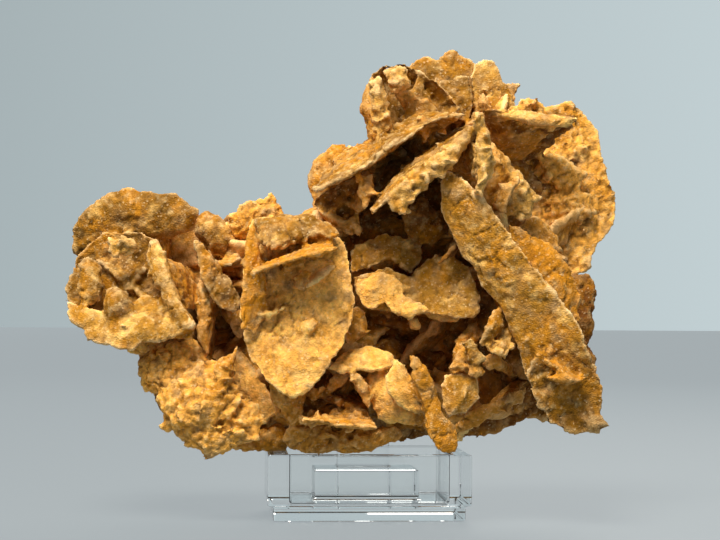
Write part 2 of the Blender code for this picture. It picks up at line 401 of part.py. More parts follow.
def web_loops(points):
    """Loops of the crystals that carry a front plate, running back from it to the core behind it."""
    middle = sum(points, Vector()) / len(points)
    span = max(points, key=lambda p: (p - middle).length)
    along = span - middle
    normal = loop_normal(points, middle)
    across = normal.cross(along).normalized()
    width = max(abs((p - middle).dot(across)) for p in points)
    aside = Vector((1, WEB_DEPTH_WEIGHT, 1))
    centre = min((Vector(core[0]) for core in CORES.values()), key=lambda c: ((c - middle) * aside).length)
    back = centre - middle
    back.y = max(back.y, WEB_LEAST_BACK)
    for share, direction in zip(WEB_SPANS, (along, across * width)):
        tips = [behind_outline(middle + direction * way * share, middle) for way in (1, -1)]
        ends = [middle + back * WEB_REACH + direction * way * WEB_TAPER for way in (-1, 1)]
        bends = [tips[1].lerp(ends[0], WEB_BEND), tips[0].lerp(ends[1], WEB_BEND)]
        yield [tips[0], middle, tips[1], bends[0], ends[0], ends[1], bends[1]]


def plate(bm, points, thickness, dish, rim=RIM_THICKNESS):
    """Adds a lens-shaped crystal: a capped cylinder whose rims follow the loop and whose caps rise in the middle."""
    count = len(points)
    middle = sum(points, Vector()) / count
    normal = loop_normal(points, middle)
    if normal.y > 0:
        points = points[::-1]
        normal = -normal
    made = bmesh.ops.create_cone(bm, cap_ends=True, cap_tris=True, segments=count, radius1=1, radius2=1, depth=2)
    for vert in made["verts"]:
        level = 1 if vert.co.z > 0 else -1
        if vert.co.xy.length < 0.5:
            vert.co = middle + normal * (level * thickness / 2 - dish)
        else:
            turn = math.atan2(vert.co.y, vert.co.x) / (2 * math.pi) * count
            vert.co = points[round(turn) % count] + normal * level * rim / 2
    faces = {face for vert in made["verts"] for face in vert.link_faces}
    bmesh.ops.recalc_face_normals(bm, faces=list(faces))


def lump(bm, middle, radii):
    """Adds a core: a sphere stretched to its radii."""
    made = bmesh.ops.create_uvsphere(bm, u_segments=CORE_RINGS[0], v_segments=CORE_RINGS[1], radius=1)
    bmesh.ops.scale(bm, vec=radii, verts=made["verts"])
    bmesh.ops.translate(bm, vec=middle, verts=made["verts"])


def block(name, size, middle):
    """A box of the given size, in millimetres."""
    bm = bmesh.new()
    bmesh.ops.create_cube(bm, size=MM)
    bmesh.ops.scale(bm, vec=size, verts=bm.verts)
    bmesh.ops.translate(bm, vec=Vector(middle) * MM, verts=bm.verts)
    return new_object(name, bm)


def new_object(name, bm):
    """A new object with this mesh, in no collection yet."""
    mesh = bpy.data.meshes.new(name)
    bm.to_mesh(mesh)
    bm.free()
    return bpy.data.objects.new(name, mesh)


def new_collection(name, objects=()):
    """A collection of these objects, in the scene."""
    collection = bpy.data.collections.new(name)
    bpy.context.scene.collection.children.link(collection)
    for item in objects:
        collection.objects.link(item)
    return collection


def hide(objects):
    """Marks the objects as tools that only shape others."""
    for item in objects:
        item.hide_render = True
        item.display_type = "WIRE"


def boolean(target, operation, tools):
    """Adds an exact Boolean with a whole collection to the object."""
    modifier = target.modifiers.new(operation.title(), "BOOLEAN")
    modifier.operation = operation
    modifier.operand_type = "COLLECTION"
    modifier.solver = "EXACT"
    modifier.collection = tools


def material(name, colour, roughness, transmission=0.0):
    """A Principled material."""
    made = bpy.data.materials.new(name)
    made.use_nodes = True
    shader = made.node_tree.nodes["Principled BSDF"]
    shader.inputs["Base Color"].default_value = (*colour, 1)
    shader.inputs["Roughness"].default_value = roughness
    shader.inputs["Transmission Weight"].default_value = transmission
    shader.inputs["IOR"].default_value = 1.49 if transmission else 1.52
    return made


def shells_of(bm):
    """The mesh's shells, as lists of faces that join along edges, smallest first."""
    left = set(bm.faces)
    shells = []
    while left:
        shell = [left.pop()]
        for face in shell:
            for edge in face.edges:
                for beside in edge.link_faces:
                    if beside in left:
                        left.discard(beside)
                        shell.append(beside)
        shells.append(shell)
    return sorted(shells, key=len)


def mend_pinches(bm):
    """Opens the mesh where it only touches itself along an edge, and closes the small holes again."""
    for _ in range(MEND_ROUNDS):
        pinched = {vert for edge in bm.edges if len(edge.link_faces) != 2 for vert in edge.verts}
        if not pinched:
            break
        bmesh.ops.delete(bm, geom=list(pinched), context="VERTS")
        rims = [edge for edge in bm.edges if len(edge.link_faces) == 1]
        filled = bmesh.ops.holes_fill(bm, edges=rims, sides=0)
        bmesh.ops.triangulate(bm, faces=filled["faces"])
    bmesh.ops.recalc_face_normals(bm, faces=bm.faces)


def keep_largest_shell(item):
    """Replaces the object's mesh by the largest shell of what its modifiers make."""
    graph = bpy.context.evaluated_depsgraph_get()
    mesh = bpy.data.meshes.new_from_object(item.evaluated_get(graph))
    bm = bmesh.new()
    bm.from_mesh(mesh)
    bmesh.ops.triangulate(bm, faces=bm.faces)
    mend_pinches(bm)
    shells = shells_of(bm)
    for shell in shells[:-1]:
        bmesh.ops.delete(bm, geom=shell, context="FACES")
    bm.to_mesh(mesh)
    bm.free()
    item.modifiers.clear()
    item.data = mesh


def room_collection(name, gap):
    """The room that the stand takes, grown by a gap, as a collection of tools that cut the stone."""
    grow = 2 * gap
    ring = block(f"{name}_ring", (RING_SIZE[0] + grow, RING_SIZE[1] + grow, RING_TOP + grow), (0, 0, RING_TOP / 2))
    post = block(f"{name}_post", (POST_HIGH[0] + grow, POST_HIGH[1] + grow, POST_HIGH[2] + grow),
                 (0, POST_BACK, POST_HIGH[2] / 2))
    for tool in (ring, post):
        tool.rotation_euler.z = STAND_YAW
    hide((ring, post))
    return new_collection(name, (ring, post))


def make_stone():
    """The desert rose: every crystal and core fused in one solid, cut back from the stand."""
    bm = bmesh.new()
    for _, loop, thickness, dish in CRYSTALS:
        points = [seen(*p) for p in loop]
        plate(bm, points, thickness, dish)
        if thickness < WEBBED_UNDER:
            for web in web_loops(points):
                plate(bm, web, WEB_THICKNESS, 0)
    for points, thickness in rear_crystals():
        plate(bm, points, thickness, 0)
    for middle, radii in CORES.values():
        lump(bm, middle, radii)
    bmesh.ops.scale(bm, vec=(MM, MM, MM), verts=bm.verts)
    stone = new_object("desert_rose", bm)
    bpy.context.scene.collection.objects.link(stone)
    fuse = stone.modifiers.new("Fuse", "REMESH")
    fuse.mode = "VOXEL"
    fuse.voxel_size = GRAIN * MM
    boolean(stone, "DIFFERENCE", room_collection("wide_room", WIDE_GAP))
    keep_largest_shell(stone)
    thin = stone.modifiers.new("Facets", "DECIMATE")
    thin.ratio = FACET_SHARE
    boolean(stone, "DIFFERENCE", room_collection("room", REST_GAP))
    keep_largest_shell(stone)
    bpy.context.scene.collection.objects.unlink(stone)
    stone.data.materials.append(material("gypsum_ochre", (0.50, 0.29, 0.09), 0.85))
    return stone


def make_stand():
    """The clear stand: foot, ring of four walls and a stepped post, moulded as one."""
    foot = block("foot", FOOT_SIZE, (0, 0, FOOT_SIZE[2] / 2))
    low = FOOT_SIZE[2] - OVERLAP
    ring = block("acrylic_stand", (RING_SIZE[0], RING_SIZE[1], RING_TOP - low), (0, 0, (RING_TOP + low) / 2))
    well = block("well", (RING_SIZE[0] - 2 * SIDE_WALL, RING_SIZE[1] - 2 * END_WALL, RING_TOP),
                 (0, 0, FOOT_SIZE[2] + RING_TOP / 2))
    step = block("step", (POST_LOW[0], POST_LOW[1], POST_LOW[2] - POST_ROOT),
                 (0, POST_LOW_BACK, (POST_LOW[2] + POST_ROOT) / 2))
    post = block("post", (POST_HIGH[0], POST_HIGH[1], POST_HIGH[2] - POST_ROOT),
                 (0, POST_BACK, (POST_HIGH[2] + POST_ROOT) / 2))
    hide([foot, well, step, post])
    boolean(ring, "DIFFERENCE", new_collection("wells", [well]))
    boolean(ring, "UNION", new_collection("posts", [foot, step, post]))
    bevel = ring.modifiers.new("Edges", "BEVEL")
    bevel.width = STAND_EDGE * MM
    bevel.segments = 2
    bevel.limit_method = "ANGLE"
    for item in (ring, foot, well, step, post):
        item.rotation_euler.z = STAND_YAW
    ring.data.materials.append(material("clear_acrylic", (0.95, 0.97, 0.97), 0.03, 1.0))
    return ring


def main():
    for item in list(bpy.data.objects):
        bpy.data.objects.remove(item, do_unlink=True)
    stone = make_stone()
    stand = make_stand()
    new_collection("gypsum_specimen", [stone, stand])


main()
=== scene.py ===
"""A gypsum desert rose on its clear stand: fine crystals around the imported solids, on a pale floor.

The crystals' outlines are millimetres in the photograph's front view, (x, z), and repeat the part's own.
Each cluster of crystals is built fine, fused by a voxel remesh, roughened, and coloured by crystal.
"""

import math
import random

import bmesh
import bpy
import numpy as np
from mathutils import Matrix, Vector
from mathutils.kdtree import KDTree


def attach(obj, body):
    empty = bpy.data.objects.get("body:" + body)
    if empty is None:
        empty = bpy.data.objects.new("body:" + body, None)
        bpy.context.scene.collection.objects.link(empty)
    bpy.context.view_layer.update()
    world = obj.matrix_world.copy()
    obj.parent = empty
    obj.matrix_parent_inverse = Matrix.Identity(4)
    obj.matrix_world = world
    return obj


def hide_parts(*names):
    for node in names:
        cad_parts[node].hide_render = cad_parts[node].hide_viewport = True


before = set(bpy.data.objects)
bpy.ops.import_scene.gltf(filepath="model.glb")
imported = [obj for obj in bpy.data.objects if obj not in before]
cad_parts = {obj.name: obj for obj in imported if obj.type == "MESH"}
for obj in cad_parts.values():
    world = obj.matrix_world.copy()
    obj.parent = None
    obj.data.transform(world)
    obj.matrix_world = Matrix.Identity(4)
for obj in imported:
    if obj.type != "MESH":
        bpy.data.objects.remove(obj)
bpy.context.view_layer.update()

MM = 0.001
MM2_IN_CM2 = 100

# The photograph's view: distance to the stand's middle, camera height and side step, in millimetres
VIEW_DISTANCE = 520.0
VIEW_HEIGHT = 54.0
VIEW_SIDE = -1.6
LENS = 95.7
PITCH = math.radians(91.35)
ROLL = math.radians(-0.3)

# Stand, as in the part
RING_SIZE = (53.6, 38.0)
RING_TOP = 17.5
POST_HIGH = (14.2, 5.0, 24.0)
POST_BACK = 9.5
STAND_YAW = math.radians(4.0)
REST_GAP = 0.35

# Crystal habit
RIM_THICKNESS = 1.1
WEB_THICKNESS = 2.8
WEBBED_UNDER = 6
WEB_SPANS = (0.56, 0.45)
WEB_REACH = 0.8
WEB_TAPER = 0.4
WEB_BEND = 0.55
WEB_LEAST_BACK = 6
WEB_DEPTH_WEIGHT = 0.4
REAR_SEED = 7
REAR_TURN_SPREAD = 0.5
REAR_CORNERS = 11
REAR_RISE = (-0.4, 0.97)
REAR_SEAT = 0.7
REAR_REACH = (0.93, 1.36)
REAR_HALF = (1.0, 1.5)
REAR_RAGGED = (0.86, 1.08)
REAR_THICKNESS = (2.8, 4.2)
HIDE_MARGIN = 3
DRAW_IN = 0.86
DRAW_STEPS = 14
LEDGE_SHARE = 0.72
PLATE_SHARE = 0.8

# Fine mesh of one crystal: spacing of its points, then its ragged rim and its broken layers
STEP = 0.75
JAG_LENGTH = 3.6
JAG = 0.7
NOTCH_LENGTH = 1.6
NOTCH = 0.9
LAYER = 0.45
LAYER_LENGTH = 12.0
LAYER_SWING = 1.5
LAYER_STEPS = 1.5
LAYER_RANGE = (-1, 2)
RIM_LAYERED_FROM = 8

# Small crystals that grow on the big ones: sides, tilt, radius in millimetres, how narrow and uneven they
# are, and their half thickness as a share of the radius and a least
SHARD_SIDES = 9
SHARD_TILT = 0.8
SHARD_RADIUS = (0.9, 2.4)
SHARD_NARROW = (0.5, 1)
SHARD_UNEVEN = (0.8, 1.15)
SHARD_THICKNESS = (0.2, 0.25)
SHARD_SEED = 5

# Cores: sphere divisions, then length, steps and height of their bumps
CORE_SEGMENTS = 48
CORE_RINGS = 24
CORE_BUMP_LENGTH = 7.0
CORE_BUMP_STEPS = 3
CORE_BUMP = 0.9

# Seeds of the webs, cores and rear crystals start here; the front crystals' start at 0
WEB_SEED = 300
CORE_SEED = 70
REAR_CRYSTAL_SEED = 600

# Which points colour the fused surface: every so many of a crystal's, and of a shard's
SAMPLE_EVERY = 9
SHARD_SAMPLE_EVERY = 5
ANY_DEPTH = -99
WEB_SAMPLE_BEHIND = 3
BORDER_WANDER = 1.2
WANDER_LENGTH = 4.0
WANDER_SEEDS = (31, 32, 33)

# Rear pieces, and where they meet across the cluster
REAR_SPLITS = (-30, 20)
REAR_CLUSTERS = ("rear_left", "rear_middle", "rear_right")

# Floor and backdrop: colour, glow, and the glow's strength at the left and the right, then in metres how far
# those are from the middle, half the size, and where each lies
PALE_FLOOR = ((0.04, 0.045, 0.046), (0.84, 0.93, 0.97), 0.40, 0.37)
PALE_WALL = ((0.3, 0.35, 0.36), (0.82, 0.94, 0.97), 0.375, 0.555)
STAGE_FADE = 1.4
STAGE_HALF = 6.0
FLOOR_PLACE = (0, 1.0, -0.0002)
WALL_PLACE = (0, 6.9, 0)

# Soft lights: name, place in metres, size, power in watts and colour
LIGHTS = (
    ("key", (-0.20, -0.50, 0.85), 0.42, 17, (1, 0.96, 0.90)),
    ("fill", (0.7, -0.8, 0.5), 0.8, 1.0, (1, 1, 1)),
    ("rear", (0.25, 0.75, 0.55), 0.6, 3, (1, 0.96, 0.90)),
)
LIT_PLACE = Vector((0, 0, 0.06))

# Kinds of crystal surface: colour as linear RGB, how nodular the crust is, shards for each square
# centimetre, and how strong its pale patches and its painted rim highlight are
TONES = {
    "tan": ((0.90, 0.450, 0.092), 0.08, 0.2, 0.50),
    "ochre": ((0.50, 0.210, 0.024), 0.45, 2.0, 0.35),
    "amber": ((0.50, 0.195, 0.010), 0.10, 0.3, 0.10),
    # Partly painted shade: the colour of cores, undersides and hollow walls that lie in shade
    "brown": ((0.15, 0.048, 0.003), 0.30, 0.8, 0.06),
    "sand": ((0.38, 0.175, 0.018), 0.12, 0.3, 0.80),
    # Partly painted shade: a darker colour also given to faces that lie in shade, such as the left face and
    # the blade's foot
    "dun": ((0.20, 0.086, 0.006), 0.30, 0.6, 0.45),
    "cream": ((0.56, 0.295, 0.060), 0.80, 3.5, 0.50),
    "crumb": ((0.80, 0.375, 0.060), 0.90, 3.0, 0.50),
}
KINDS = list(TONES)
COLOURS = np.array([TONES[kind][0] for kind in KINDS])
CRUST = np.array([TONES[kind][1] for kind in KINDS])
PALENESS_AND_RIM_HIGHLIGHT = np.array([TONES[kind][3] for kind in KINDS])
PALE = np.array((0.82, 0.480, 0.130))
# Colour of the painted highlight on convex rims
RIM_HIGHLIGHT = np.array((0.95, 0.700, 0.360))
DEEP = np.array((0.50, 0.190, 0.006))
MAUVE = np.array((0.40, 0.225, 0.080))

# Flecks in the grain: noise scale in each metre, where they begin and are full, strength and colour
FLECKS = (
    (340, 0.45, 0.65, 0.36, (0.56, 0.230, 0.010, 1)),
    (230, 0.53, 0.70, 0.30, (0.32, 0.185, 0.075, 1)),
    (500, 0.54, 0.72, 0.30, (0.92, 0.640, 0.270, 1)),
)

# Grain of the material: sizes for each metre, how far it lightens and darkens, painted glints in the colour,
# roughness, and the height of its bumps in millimetres
GRAIN_SCALE = 2300
MOTTLE_SCALE = 420
SHINE = (0.86, 1.14)
GLINT = (0.90, 0.660, 0.360, 1)
GLINT_SHARE = 0.35
DULLNESS = (0.55, 0.95)
GRAIN_BUMP = 0.3

# Patches of colour and of crust: length in millimetres, octaves, seed, strength and offset
DEEP_PATCHES = (8.0, 4, 21, 0.85, 0.05)
MAUVE_PATCHES = (5.0, 3, 23, 1.1, -0.12)
PALE_PATCHES = (5.0, 4, 22, 1.0, -0.2)
CRUST_PATCHES = (9.0, 3, 6, 0.35, 0.0)

# Colour by shape: smoothing passes, then gain, offset and limits of what follows from them. The rim terms
# paint a highlight, the hollow terms paint shade, and the fine terms paint shade in pits and light on bumps
FINE_PASSES = 3
BROAD_PASSES = 16
UPWARD_PALE = 0.15
PALE_SHARE = 1.6
# Painted highlight on convex rims: gain, offset and most
RIM_HIGHLIGHT_GAIN = 1.5
RIM_HIGHLIGHT_FROM = 0.5
RIM_HIGHLIGHT_MOST = 0.9
# Painted shade in the hollows: how dark, then gain and offset
HOLLOW_SHADE = 0.5
HOLLOW_GAIN = 0.9
HOLLOW_FROM = 0.1
# Painted shade in small pits and creases and painted light on small bumps: gain and limits
FINE_SHADE_GAIN = 2.0
FINE_SHADE_LIMITS = (-0.5, 0.2)
COLOUR_LIMITS = (0.004, 0.95)

# Surface relief in millimetres: nodules, grains, cracks, swells and pits
NODULE_SIZE = 2.1
NODULE_BEND = (2.0, 0.4)
NODULE_HEIGHT = 1.35
GRAIN_SIZE = 1.1
GRAIN_HEIGHT = 0.40
GRAIN_ON_CRUST = 0.2
CRACK_CELL = 7.0
CRACK_BEND = (3.0, 1.2)
CRACK_WIDTH = 0.08
CRACK_AREA = 14.0
CRACK_ABOVE = 0.15
CRACK_DEPTH = 0.5
SWELL = (5.0, 0.12)
PIT_SIZE = 2.2
PIT_ABOVE = 0.5
PIT_DEPTH = 1.4
PIT_ON_BARE = 0.3


def face(rim, at, lean=(0.0, 0.0)):
    """Loop of (x, z, y) points: an outline whose middle lies at depth `at`, leaning in x and in z."""
    mid_x = sum(p[0] for p in rim) / len(rim)
    mid_z = sum(p[1] for p in rim) / len(rim)
    return [(x, z, at + lean[0] * (x - mid_x) + lean[1] * (z - mid_z)) for x, z in rim]


def ledge(line, front, back):
    """Loop of a plate seen on its edge: the visible line, and the same line narrowed and moved back."""
    mid_x = sum(p[0] for p in line) / len(line)
    mid_z = sum(p[1] for p in line) / len(line)
    dx, dy, dz = back
    far = [
        (mid_x + (x - mid_x) * LEDGE_SHARE + dx, mid_z + (z - mid_z) * LEDGE_SHARE + dz, front + dy)
        for x, z in reversed(line)
    ]
    return [(x, z, front) for x, z in line] + far


# Front crystals: name, tone, loop, thickness at the middle, and how far the middle is dished back, if it is.
# Their order sets the seed of each, so a cluster can come twice.

# Left lobe
LEFT_LOBE = [
    ("left_hood", "dun", face([(-80, 71), (-80.5, 76), (-78, 81), (-74.5, 84.5), (-70, 87), (-64, 88.3),
     (-57, 87.2), (-52, 87), (-48, 85), (-45, 81.5), (-47, 77), (-54, 74), (-60, 68), (-68, 64), (-76, 66)],
     -10, (0, -0.3)), 8),
    ("left_face", "dun", face([(-82, 60), (-80.5, 66), (-77.5, 71.5), (-72, 76.5), (-65, 76.5), (-58, 75.5),
     (-55, 70), (-52.5, 63), (-50, 57), (-46, 51), (-47, 47), (-56, 47.5), (-66, 50), (-77, 52), (-81, 55)],
     -19, (-0.15, 0.25)), 4, 4),
    ("left_knob_high", "dun", face([(-78, 68), (-76, 69.5), (-73, 68.5), (-71.5, 65), (-71, 61), (-72, 57),
     (-77, 56), (-79, 61)], -20, (0.1, 0.2)), 7),
    ("left_knob_low", "dun", face([(-71, 60.5), (-68, 62), (-65, 60), (-63, 57), (-64.5, 53.5), (-70, 52),
     (-72, 56)], -24, (0, 0.2)), 6),
    ("left_knob_pale", "cream", face([(-70, 74.5), (-66, 75.3), (-62.5, 74), (-61, 71.5), (-65, 70.5),
     (-68.5, 69.5), (-70.3, 71.5)], -23, (0, 0.2)), 6),
    ("left_rib", "sand", face([(-59, 74), (-57, 75), (-54.5, 70), (-52, 63), (-50, 57), (-46, 51), (-49, 49),
     (-54, 55), (-58, 62), (-60, 69)], -23, (-0.1, 0.2)), 5),
    ("left_lip", "sand", face([(-81.3, 57.5), (-81, 52), (-77.5, 50), (-76, 47), (-70, 44.8), (-64, 44),
     (-60, 46), (-55, 46), (-50, 48.5), (-46, 50.5), (-50, 54), (-55, 57.5), (-60, 60), (-64, 56.5),
     (-70, 54.5), (-77, 55)], -24, (-0.05, 0.5)), 5),
    ("left_under", "tan", face([(-70, 45.5), (-62, 42.5), (-57, 43), (-52, 47), (-56, 51), (-66, 50)], -10),
     6),
    ("saddle_knob", "dun", face([(-47, 80), (-44.5, 82.3), (-41.5, 81.5), (-38, 79.5), (-35.5, 77),
     (-34.5, 73), (-38, 70), (-43, 70.5), (-47, 75)], -3, (0, 0.2)), 9),
    ("left_fin", "dun", face([(-47.5, 74.8), (-44.5, 73), (-41.5, 70), (-38.5, 65.5), (-35.5, 61.5),
     (-34, 58), (-34, 55), (-36, 54.3), (-39.5, 55.5), (-42, 58.5), (-44, 61.5), (-45.3, 66)], -22,
     (0.5, 0.2)), 3),
    ("left_fin_root", "ochre", face([(-45.5, 64), (-43.5, 62), (-42, 58), (-41.5, 50), (-42, 46.5),
     (-43, 43), (-45, 46), (-46, 50), (-46, 57)], -20, (0.5, 0)), 4),
    ("fin_shelf", "ochre", ledge([(-41, 67.5), (-37.5, 67.3), (-34, 69.5)], -20, (0, 18, -1)), 1.9),
    ("fin_low", "ochre", face([(-38.5, 55), (-34, 56), (-33, 50), (-34, 47), (-36, 49), (-37.5, 52)], -14,
     (0.2, 0)), 3),
    ("hollow_chip_high", "brown", face([(-54, 71), (-49, 69), (-45.5, 66), (-47, 63), (-52, 65)], 0,
     (0.3, 0.3)), 4),
    ("hollow_chip_low", "brown", face([(-53, 60), (-48, 62.5), (-44.5, 58), (-48, 54)], -2, (-0.4, 0.2)), 4),
]
# Lower left mass, stacked and worn
LOWER_LEFT = [
    ("foot_upper", "crumb", face([(-62, 41), (-58.5, 44.5), (-53, 47), (-47, 47.5), (-43, 43.5), (-44, 39),
     (-49, 35), (-55, 32), (-60.5, 32.5), (-61.8, 37)], -17, (-0.2, 0.45)), 10),
    ("foot_middle", "crumb", face([(-57, 36), (-50, 40), (-44, 42.3), (-40, 41.5), (-36, 37), (-33.5, 32),
     (-36, 27), (-42, 23), (-50, 23), (-55, 26), (-56.8, 30)], -22, (-0.1, 0.4)), 10),
    ("foot_lower", "crumb", face([(-55.5, 23.8), (-54, 28), (-47, 30), (-39, 29), (-33, 31), (-29, 29.5),
     (-27, 25), (-30, 20), (-37, 17), (-42, 14.8), (-46, 16.8), (-50, 20.3)], -21, (-0.1, 0.3)), 10),
    ("foot_streak", "ochre", face([(-41.5, 41), (-37, 43), (-34.5, 46), (-35.5, 40), (-37, 35), (-41, 31),
     (-41, 36)], -24, (0.4, 0.2)), 3),
    ("foot_base", "ochre", face([(-38, 18), (-31, 23), (-24, 25), (-19, 21), (-21.5, 17.2), (-25, 16.6),
     (-31, 16.6)], -12, (0, -0.1)), 8),
    ("foot_plate", "tan", face([(-35.5, 46), (-30, 39), (-26, 33), (-23, 28), (-27, 24), (-32, 28),
     (-36, 36)], -14, (-0.4, 0)), 4),
]
# Central tongue and what grows on it
TONGUE = [
    ("tongue", "tan", face([(-31, 80), (-33, 74), (-33.8, 66), (-34, 58), (-34, 50), (-33, 45.5),
     (-30.5, 40), (-25, 34), (-20, 31.4), (-15.8, 32.5), (-11, 38), (-6, 46), (-3.5, 53), (-3, 59),
     (-4.2, 67), (-5.5, 74.5), (-12, 77), (-22, 80)], -30, (0.05, 0.22)), 3.4, 1.5),
    ("tongue_strip", "amber", face([(-31, 80), (-33, 74), (-34, 60), (-34, 50), (-30.5, 48), (-26.5, 55),
     (-27.5, 64), (-29.5, 72)], -33, (0.7, 0.1)), 3),
    ("tongue_shelf", "amber", ledge([(-31.5, 64.7), (-27, 66.5), (-22, 68.5), (-17, 70), (-12, 71),
     (-8, 72)], -41, (1, 20, 3.5)), 1.9),
    ("shelf_splinter", "amber", face([(-20.8, 64.5), (-18, 66.5), (-14.5, 66), (-17.3, 61.5), (-16, 59.5),
     (-18.8, 61.3)], -34, (0.3, 0.3)), 2),
    ("tongue_crust", "dun", face([(-31, 79.5), (-27, 80.5), (-22, 81.3), (-16, 81.6), (-12, 80.3),
     (-8.8, 78), (-7, 75.8), (-10, 74.6), (-13, 75.6), (-17, 74), (-21, 72.5), (-25, 71.5), (-29, 73)], -29,
     (0, 0.9)), 5),
    ("amber_dish", "amber", face([(-20, 73), (-16, 75.5), (-10, 75.5), (-8, 73), (-12, 70.5), (-18, 70)],
     -27), 3),
    ("tongue_knob", "tan", face([(-19, 50), (-17.5, 53.3), (-14, 53.3), (-12.8, 51), (-15, 47.5),
     (-17, 46.2)], -31.5, (0, 0.2)), 4),
    ("tongue_ridge", "tan", face([(-29, 54), (-25, 56.2), (-21.5, 56.5), (-24, 53.5), (-28, 51.8)], -32,
     (0.3, 0)), 4),
    ("crest_middle", "crumb", face([(-38, 78), (-35.5, 82), (-33, 84.3), (-30.5, 85.6), (-28, 85.3),
     (-25.6, 87.6), (-23.3, 84.8), (-22, 81), (-23, 76), (-30, 74), (-36, 75)], -5, (0, -0.1)), 7),
    ("tongue_behind", "ochre", face([(-5, 46.5), (-2.5, 46), (-0.5, 48), (0.5, 51), (-0.3, 54.5),
     (-2.5, 56.3), (-7, 55), (-8, 50)], -20, (0.2, 0)), 4),
    ("tongue_root", "ochre", face([(-27, 37), (-20, 35), (-15, 35), (-16.5, 28.5), (-17.5, 24), (-20, 22),
     (-22, 26), (-25.5, 30)], -22, (0.2, -0.2)), 4),
]
# Split plates in the middle
SPLIT_PLATES = [
    ("flake_upper", "sand", face([(-4.3, 71), (-3, 73.2), (0, 74.7), (5, 76.2), (10, 75.5), (15.5, 73.5),
     (15.5, 70), (13.3, 67), (11.8, 65.3), (9.8, 66.3), (8, 67.8), (6.3, 69), (3, 67.7), (0, 66.2),
     (-3.8, 65.6)], -14, (0.1, 0.3)), 2.4),
    ("flake_lower", "sand", face([(-3.8, 64.6), (0, 65.3), (5, 67.7), (9, 65.5), (12, 64.6), (14, 67),
     (17, 70.3), (20, 69.8), (24, 71), (28, 67), (31, 60), (31.5, 55), (29, 53.2), (26, 52.7), (22, 53.6),
     (15, 54.6), (12, 52.4), (9, 54), (6, 55), (2, 55.4), (-0.5, 56), (-3, 60)], -20, (-0.05, 0.3)), 2.4),
    ("flake_peel", "tan", face([(-3, 63.8), (3, 66), (8, 65), (11.5, 62), (9.5, 59), (5, 57.3), (2.5, 55.3),
     (0, 55.8), (-2.8, 59.8)], -22.4, (0.05, 0.25)), 2),
    ("flake_tip", "tan", face([(5, 58), (10, 59.5), (15, 57.5), (17.5, 55.5), (14, 54), (12, 52.3),
     (9, 53.8), (6, 55)], -24, (0, 0.3)), 1.8),
    ("flake_lip", "tan", face([(14, 55.5), (20, 56), (27, 54.5), (25, 52.2), (20.5, 51.6), (18, 53)], -17.5,
     (0, 0.3)), 2.4),
    ("flake_nub", "tan", face([(11, 54), (14.6, 54), (14.9, 51), (13, 49.9), (11.3, 51)], -17), 3),
    ("strut_chip", "brown", face([(19.4, 68), (22, 72), (25.3, 75.3), (24.8, 72.6), (21.8, 68.6)], -25,
     (0.2, 0)), 2.4),
    # shade_blade and shade_wall are dark brown plates that paint the shade in the dark hollow behind the
    # split plates
    ("shade_blade", "brown", face([(9, 80), (13, 87), (16, 86), (18.5, 82.5), (20.5, 79), (21.5, 75.5),
     (18, 73), (13, 74), (10, 77)], -12, (0.3, 0.1)), 4),
    ("shade_wall", "brown", face([(-6, 79), (2, 82), (10, 80), (17, 77), (16, 72), (5, 73), (-4, 73)], -5),
     5),
]
